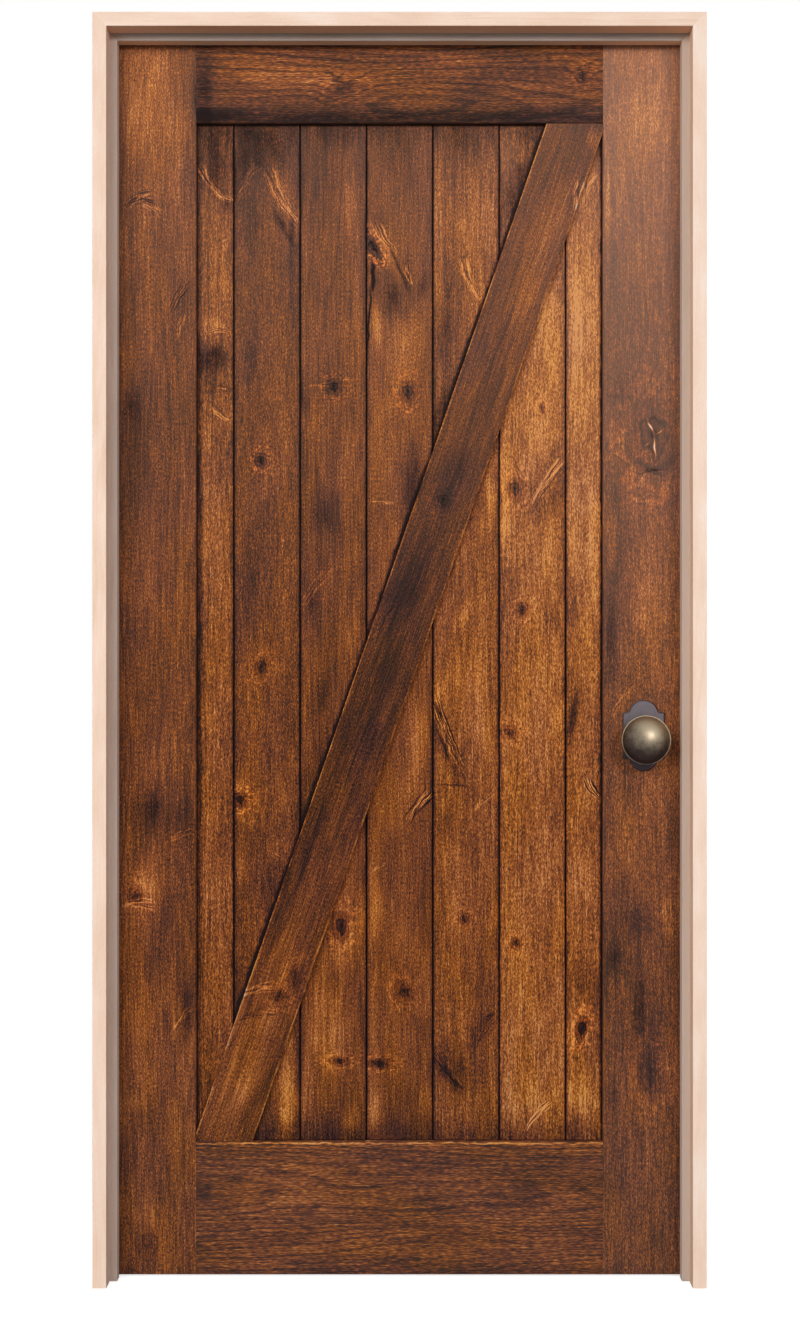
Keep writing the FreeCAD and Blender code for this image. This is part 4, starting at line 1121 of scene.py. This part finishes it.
parts = new_material("aged_bronze")
knob_bronze = bronze_finish(parts, (58, 47, 46), (166, 151, 127), knob_rub_and_painted_light(parts[1], parts[3]), 95.0)
parts = new_material("rosette_bronze")
rosette_bronze = bronze_finish(parts, (62, 55, 59), (110, 102, 106), plate_painted_shadow(parts[1], parts[3]), 60.0)
parts = new_material("dark_bronze")
plate_bronze = bronze_finish(parts, (76, 70, 74), (122, 114, 118), EVENLY_RUBBED, 140.0)
parts = new_material("bolt_steel")
steel_finish = bronze_finish(parts, (120, 118, 114), (176, 174, 170), EVENLY_RUBBED, 200.0)
print("metals:", [material.name for material in (knob_bronze, rosette_bronze, plate_bronze, steel_finish)])

# %% [markdown]
# ## Rounding off the turned and cast pieces
#
# A solid arrives as loose triangles, so each one catches the light as its own flat. That is right for sawn
# boards and wrong for a turned knob. A copy with its corners merged can be shaded smooth, with only the
# real arrises kept sharp. The copy sits where the solid is and stands for it.

# %% Smooth metalwork
MERGE_DISTANCE = 0.00001
SHARP_DEGREES, ROSETTE_SHARP_DEGREES = 32, 12
HINGES = ("top_hinge", "middle_hinge", "bottom_hinge")


def smooth_copy(node, body, material, sharp_degrees=SHARP_DEGREES):
    """A merged, smooth shaded copy of a solid, which then stands for it."""
    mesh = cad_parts[node].data.copy()
    mesh.attributes.remove(mesh.attributes["custom_normal"])
    joined = bmesh.new()
    joined.from_mesh(mesh)
    bmesh.ops.remove_doubles(joined, verts=joined.verts, dist=MERGE_DISTANCE)
    joined.to_mesh(mesh)
    joined.free()
    mesh.materials.clear()
    mesh.materials.append(material)
    mesh.shade_smooth()
    mesh.set_sharp_from_angle(angle=math.radians(sharp_degrees))
    piece = bpy.data.objects.new(f"{node}_smooth", mesh)
    scene.collection.objects.link(piece)
    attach(piece, body)
    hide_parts(node)
    return piece


smooth_pieces = []
for node in ("front_knob", "back_knob"):
    smooth_pieces.append(smooth_copy(node, "knobs", knob_bronze))
for node in ("front_rosette", "back_rosette"):
    smooth_pieces.append(smooth_copy(node, "leaf", rosette_bronze, ROSETTE_SHARP_DEGREES))
smooth_pieces.append(smooth_copy("latch_faceplate", "leaf", plate_bronze))
smooth_pieces.append(smooth_copy("strike_plate", "frame", plate_bronze))
for hinge in HINGES:
    smooth_pieces.append(smooth_copy(f"{hinge}_jamb_plate", "frame", plate_bronze))
    smooth_pieces.append(smooth_copy(f"{hinge}_pin", "frame", plate_bronze))
    smooth_pieces.append(smooth_copy(f"{hinge}_leaf_plate", "leaf", plate_bronze))
for node in ("spindle", "latch_bolt"):
    give(node, steel_finish)
print("smooth pieces:", len(smooth_pieces))

# %% [markdown]
# ## Screws
#
# Each hinge plate has four flat headed screws, and the faceplate and strike have two each. They are all one
# shape in many places, so Geometry Nodes make them: a disc, less a cross cut by a Boolean, set on every
# point of a small mesh and turned to face the way its plate faces. Realizing the instances at the end gives
# a plain mesh that can be kept.

# %% Screw tree
SCREW_INPUTS = {"Head Radius": 0.0038, "Head Height": 0.0012, "Cross Length": 0.0046, "Cross Width": 0.0009}
CROSS_LIFT = 0.6


def screw_tree(material):
    """Geometry Nodes that set a cross slotted screw head on every point of a mesh."""
    node_group = bpy.data.node_groups.new("Screws On Points", "GeometryNodeTree")
    face = node_group.interface
    face.new_socket("Points", in_out="INPUT", socket_type="NodeSocketGeometry")
    for label, value in SCREW_INPUTS.items():
        face.new_socket(label, in_out="INPUT", socket_type="NodeSocketFloat").default_value = value
    face.new_socket("Screws", in_out="OUTPUT", socket_type="NodeSocketGeometry")
    tree = Tree(node_group)
    given = tree.add("NodeGroupInput").outputs
    result = tree.add("NodeGroupOutput").inputs
    height, long, short = given["Head Height"], given["Cross Length"], given["Cross Width"]
    disc = {"Vertices": 24, "Radius": given["Head Radius"], "Depth": height}
    head = tree.add("GeometryNodeMeshCylinder", disc).outputs["Mesh"]
    lift = tree.join(0.0, 0.0, tree.times(height, CROSS_LIFT))
    for size in (tree.join(long, short, height), tree.join(short, long, height)):
        bar = tree.add("GeometryNodeMeshCube", {"Size": size}).outputs["Mesh"]
        raised = tree.add("GeometryNodeTransform", {"Geometry": bar, "Translation": lift}).outputs[0]
        cut = tree.add("GeometryNodeMeshBoolean", {0: head, 1: raised}, operation="DIFFERENCE")
        head = cut.outputs[0]
    facing = tree.add("GeometryNodeInputNamedAttribute", {"Name": "facing"}, data_type="FLOAT_VECTOR")
    turn = tree.add("FunctionNodeAlignRotationToVector", {"Vector": facing.outputs[0]}, axis="Z").outputs[0]
    placing = {"Points": given["Points"], "Instance": head, "Rotation": turn}
    placed = tree.add("GeometryNodeInstanceOnPoints", placing).outputs[0]
    whole = tree.add("GeometryNodeRealizeInstances", {0: placed}).outputs[0]
    dressed = tree.add("GeometryNodeSetMaterial", {"Geometry": whole, "Material": material}).outputs[0]
    node_group.links.new(dressed, result["Screws"])
    return node_group


screws_group = screw_tree(plate_bronze)
print("screw tree:", len(screws_group.nodes), "nodes")

# %% Screws in their plates
# A hinge plate's screws: the share of its height, and how far each is from the plate's far edge.
SCREW_ROWS = {0.12: 0.009, 0.38: 0.017, 0.62: 0.017, 0.88: 0.009}
HINGE_SINK, EDGE_SINK = 0.0004, 0.0006
EDGE_SHARE = 0.12
FLAT_DEPTH = 0.02


def plate_face(node, outward):
    """The x of a plate's flat, read from the solid at the edge that is away from its knuckles."""
    low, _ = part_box(node)
    near = [corner.co.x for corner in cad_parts[node].data.vertices if corner.co.y < low.y + FLAT_DEPTH]
    return max(near) if outward > 0 else min(near)


def hinge_screws(node, outward):
    """Four places on a hinge plate in a zigzag, with the way it faces."""
    low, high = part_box(node)
    x = plate_face(node, outward) - outward * HINGE_SINK
    height = high.z - low.z
    spots = [(low.y + inset, low.z + share * height) for share, inset in SCREW_ROWS.items()]
    return [(Vector((x, y, z)), outward) for y, z in spots]


def edge_screws(node, outward):
    """Two places on a narrow upright plate, one near each end, with the way it faces."""
    low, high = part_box(node)
    x = (high.x if outward > 0 else low.x) - outward * EDGE_SINK
    y = (low.y + high.y) / 2
    inset = EDGE_SHARE * (high.z - low.z)
    return [(Vector((x, y, z)), outward) for z in (low.z + inset, high.z - inset)]


def screw_piece(name, body, places):
    """One mesh with a screw at every place, riding on a body."""
    points = bpy.data.meshes.new(f"{name}_points")
    points.from_pydata([place for place, _ in places], [], [])
    facing = points.attributes.new("facing", "FLOAT_VECTOR", "POINT")
    for number, (_, outward) in enumerate(places):
        facing.data[number].vector = (outward, 0, 0)
    carrier = bpy.data.objects.new(f"{name}_points", points)
    scene.collection.objects.link(carrier)
    modifier = carrier.modifiers.new("screws", "NODES")
    modifier.node_group = screws_group
    for item in screws_group.interface.items_tree:
        if item.in_out == "INPUT" and item.name in SCREW_INPUTS:
            modifier[item.identifier] = SCREW_INPUTS[item.name]
    evaluated = carrier.evaluated_get(bpy.context.evaluated_depsgraph_get())
    mesh = bpy.data.meshes.new_from_object(evaluated)
    bpy.data.objects.remove(carrier)
    piece = bpy.data.objects.new(name, mesh)
    scene.collection.objects.link(piece)
    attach(piece, body)
    print(name, "screws:", len(places), "faces:", len(mesh.polygons))


frame_places = edge_screws("strike_plate", -1)
leaf_places = edge_screws("latch_faceplate", 1)
for hinge in HINGES:
    frame_places += hinge_screws(f"{hinge}_jamb_plate", 1)
    leaf_places += hinge_screws(f"{hinge}_leaf_plate", -1)
screw_piece("frame_screws", "frame", frame_places)
screw_piece("leaf_screws", "leaf", leaf_places)

# %% [markdown]
# ## Light, backdrop and floor
#
# A big soft lamp at the upper left gives the thin shadows in the panel's corner and beside the brace. A small
# one at the upper right puts the bright spot on the knob, and a big one behind lights the far side. All three
# are turned well down, so that the foot of the door gets as much light as the head, though it is further off.
#
# The sky only fills in. The backdrop is white to the eye and to anything that mirrors it, but it throws no
# more light on the door for that: the Light Path node tells the two apart. The floor keeps the shadow at the
# door's foot and fades to white away from it.

# %% Lamps
LOW_AIM = Vector((door_width / 2, 0, -10.7))
# Place, size in metres, power in watts, and whether the lamp shows in what is shiny.
LAMPS = {
    "left_softbox": ((-2.27, -6.15, 3.1), 3.6, 393, False),
    "right_softbox": ((3.21, -6.15, 3.25), 1.5, 218, True),
    "back_softbox": ((2.16, 6.15, 3.1), 3.6, 357, False),
}
for name, (place, size, power, mirrored) in LAMPS.items():
    lamp = bpy.data.lights.new(name, "AREA")
    lamp.size = size
    lamp.energy = power
    holder = bpy.data.objects.new(name, lamp)
    holder.location = place
    holder.rotation_euler = (LOW_AIM - Vector(place)).to_track_quat("-Z", "Y").to_euler()
    holder.visible_glossy = mirrored
    scene.collection.objects.link(holder)
print("lamps:", len(LAMPS))

# %% Backdrop
SKY_FILL = 0.26


def seen_ray(tree):
    """1 for rays that show the backdrop itself, straight or in a mirror, and 0 for rays that gather light."""
    path = tree.add("ShaderNodeLightPath").outputs
    either = tree.math("MAXIMUM", path["Is Camera Ray"], path["Is Glossy Ray"])
    return tree.math("MAXIMUM", either, path["Is Transmission Ray"])


world = bpy.data.worlds.new("studio_sky")
world.use_nodes = True
scene.world = world
tree = Tree(world.node_tree)
world.node_tree.nodes.clear()
fill = tree.add("ShaderNodeBackground", {"Color": WHITE, "Strength": SKY_FILL}).outputs[0]
white = tree.add("ShaderNodeBackground", {"Color": WHITE, "Strength": 1.0}).outputs[0]
sky = tree.add("ShaderNodeMixShader", {0: seen_ray(tree), 1: fill, 2: white}).outputs[0]
tree.add("ShaderNodeOutputWorld", {"Surface": sky})
print("sky fill:", SKY_FILL)

# %% Floor
FLOOR_TONE, FLOOR_BOUNCE, FLOOR_LIFT = 0.75, 0.15, 0.7
FADE_START, FADE_END = 0.25, 0.7
FLOOR_REACH = 6.0
floor_material = bpy.data.materials.new("pale_floor")
floor_material.use_nodes = True
tree = Tree(floor_material.node_tree)
floor_material.node_tree.nodes.clear()
across, depth, _ = tree.split(tree.add("ShaderNodeTexCoord").outputs["Object"])
beside = tree.less(tree.math("ABSOLUTE", tree.less(across, door_width / 2)), door_width / 2)
away = tree.math("MAXIMUM", tree.math("MAXIMUM", beside, 0.0), tree.math("ABSOLUTE", depth))
paint = tree.add("ShaderNodeBsdfDiffuse", {"Color": (FLOOR_TONE, FLOOR_TONE, FLOOR_TONE, 1)}).outputs[0]
dim = tree.add("ShaderNodeBsdfDiffuse", {"Color": (FLOOR_BOUNCE, FLOOR_BOUNCE, FLOOR_BOUNCE, 1)}).outputs[0]
lift = tree.add("ShaderNodeEmission", {"Color": WHITE, "Strength": FLOOR_LIFT}).outputs[0]
pure = tree.add("ShaderNodeEmission", {"Color": WHITE, "Strength": 1.0}).outputs[0]
near = tree.add("ShaderNodeAddShader", {0: paint, 1: lift}).outputs[0]
fading = tree.ramp(away, FADE_START, FADE_END)
shown = tree.add("ShaderNodeMixShader", {0: fading, 1: near, 2: pure}).outputs[0]
floor_shader = tree.add("ShaderNodeMixShader", {0: seen_ray(tree), 1: dim, 2: shown}).outputs[0]
tree.add("ShaderNodeOutputMaterial", {"Surface": floor_shader})

corners = [(x * FLOOR_REACH, y * FLOOR_REACH, 0) for x, y in ((-1, -1), (1, -1), (1, 1), (-1, 1))]
floor_mesh = bpy.data.meshes.new("floor")
floor_mesh.from_pydata(corners, [], [(0, 1, 2, 3)])
floor_mesh.materials.append(floor_material)
floor = bpy.data.objects.new("floor", floor_mesh)
scene.collection.objects.link(floor)
print("floor fades from", FADE_START, "to", FADE_END, "metres away")
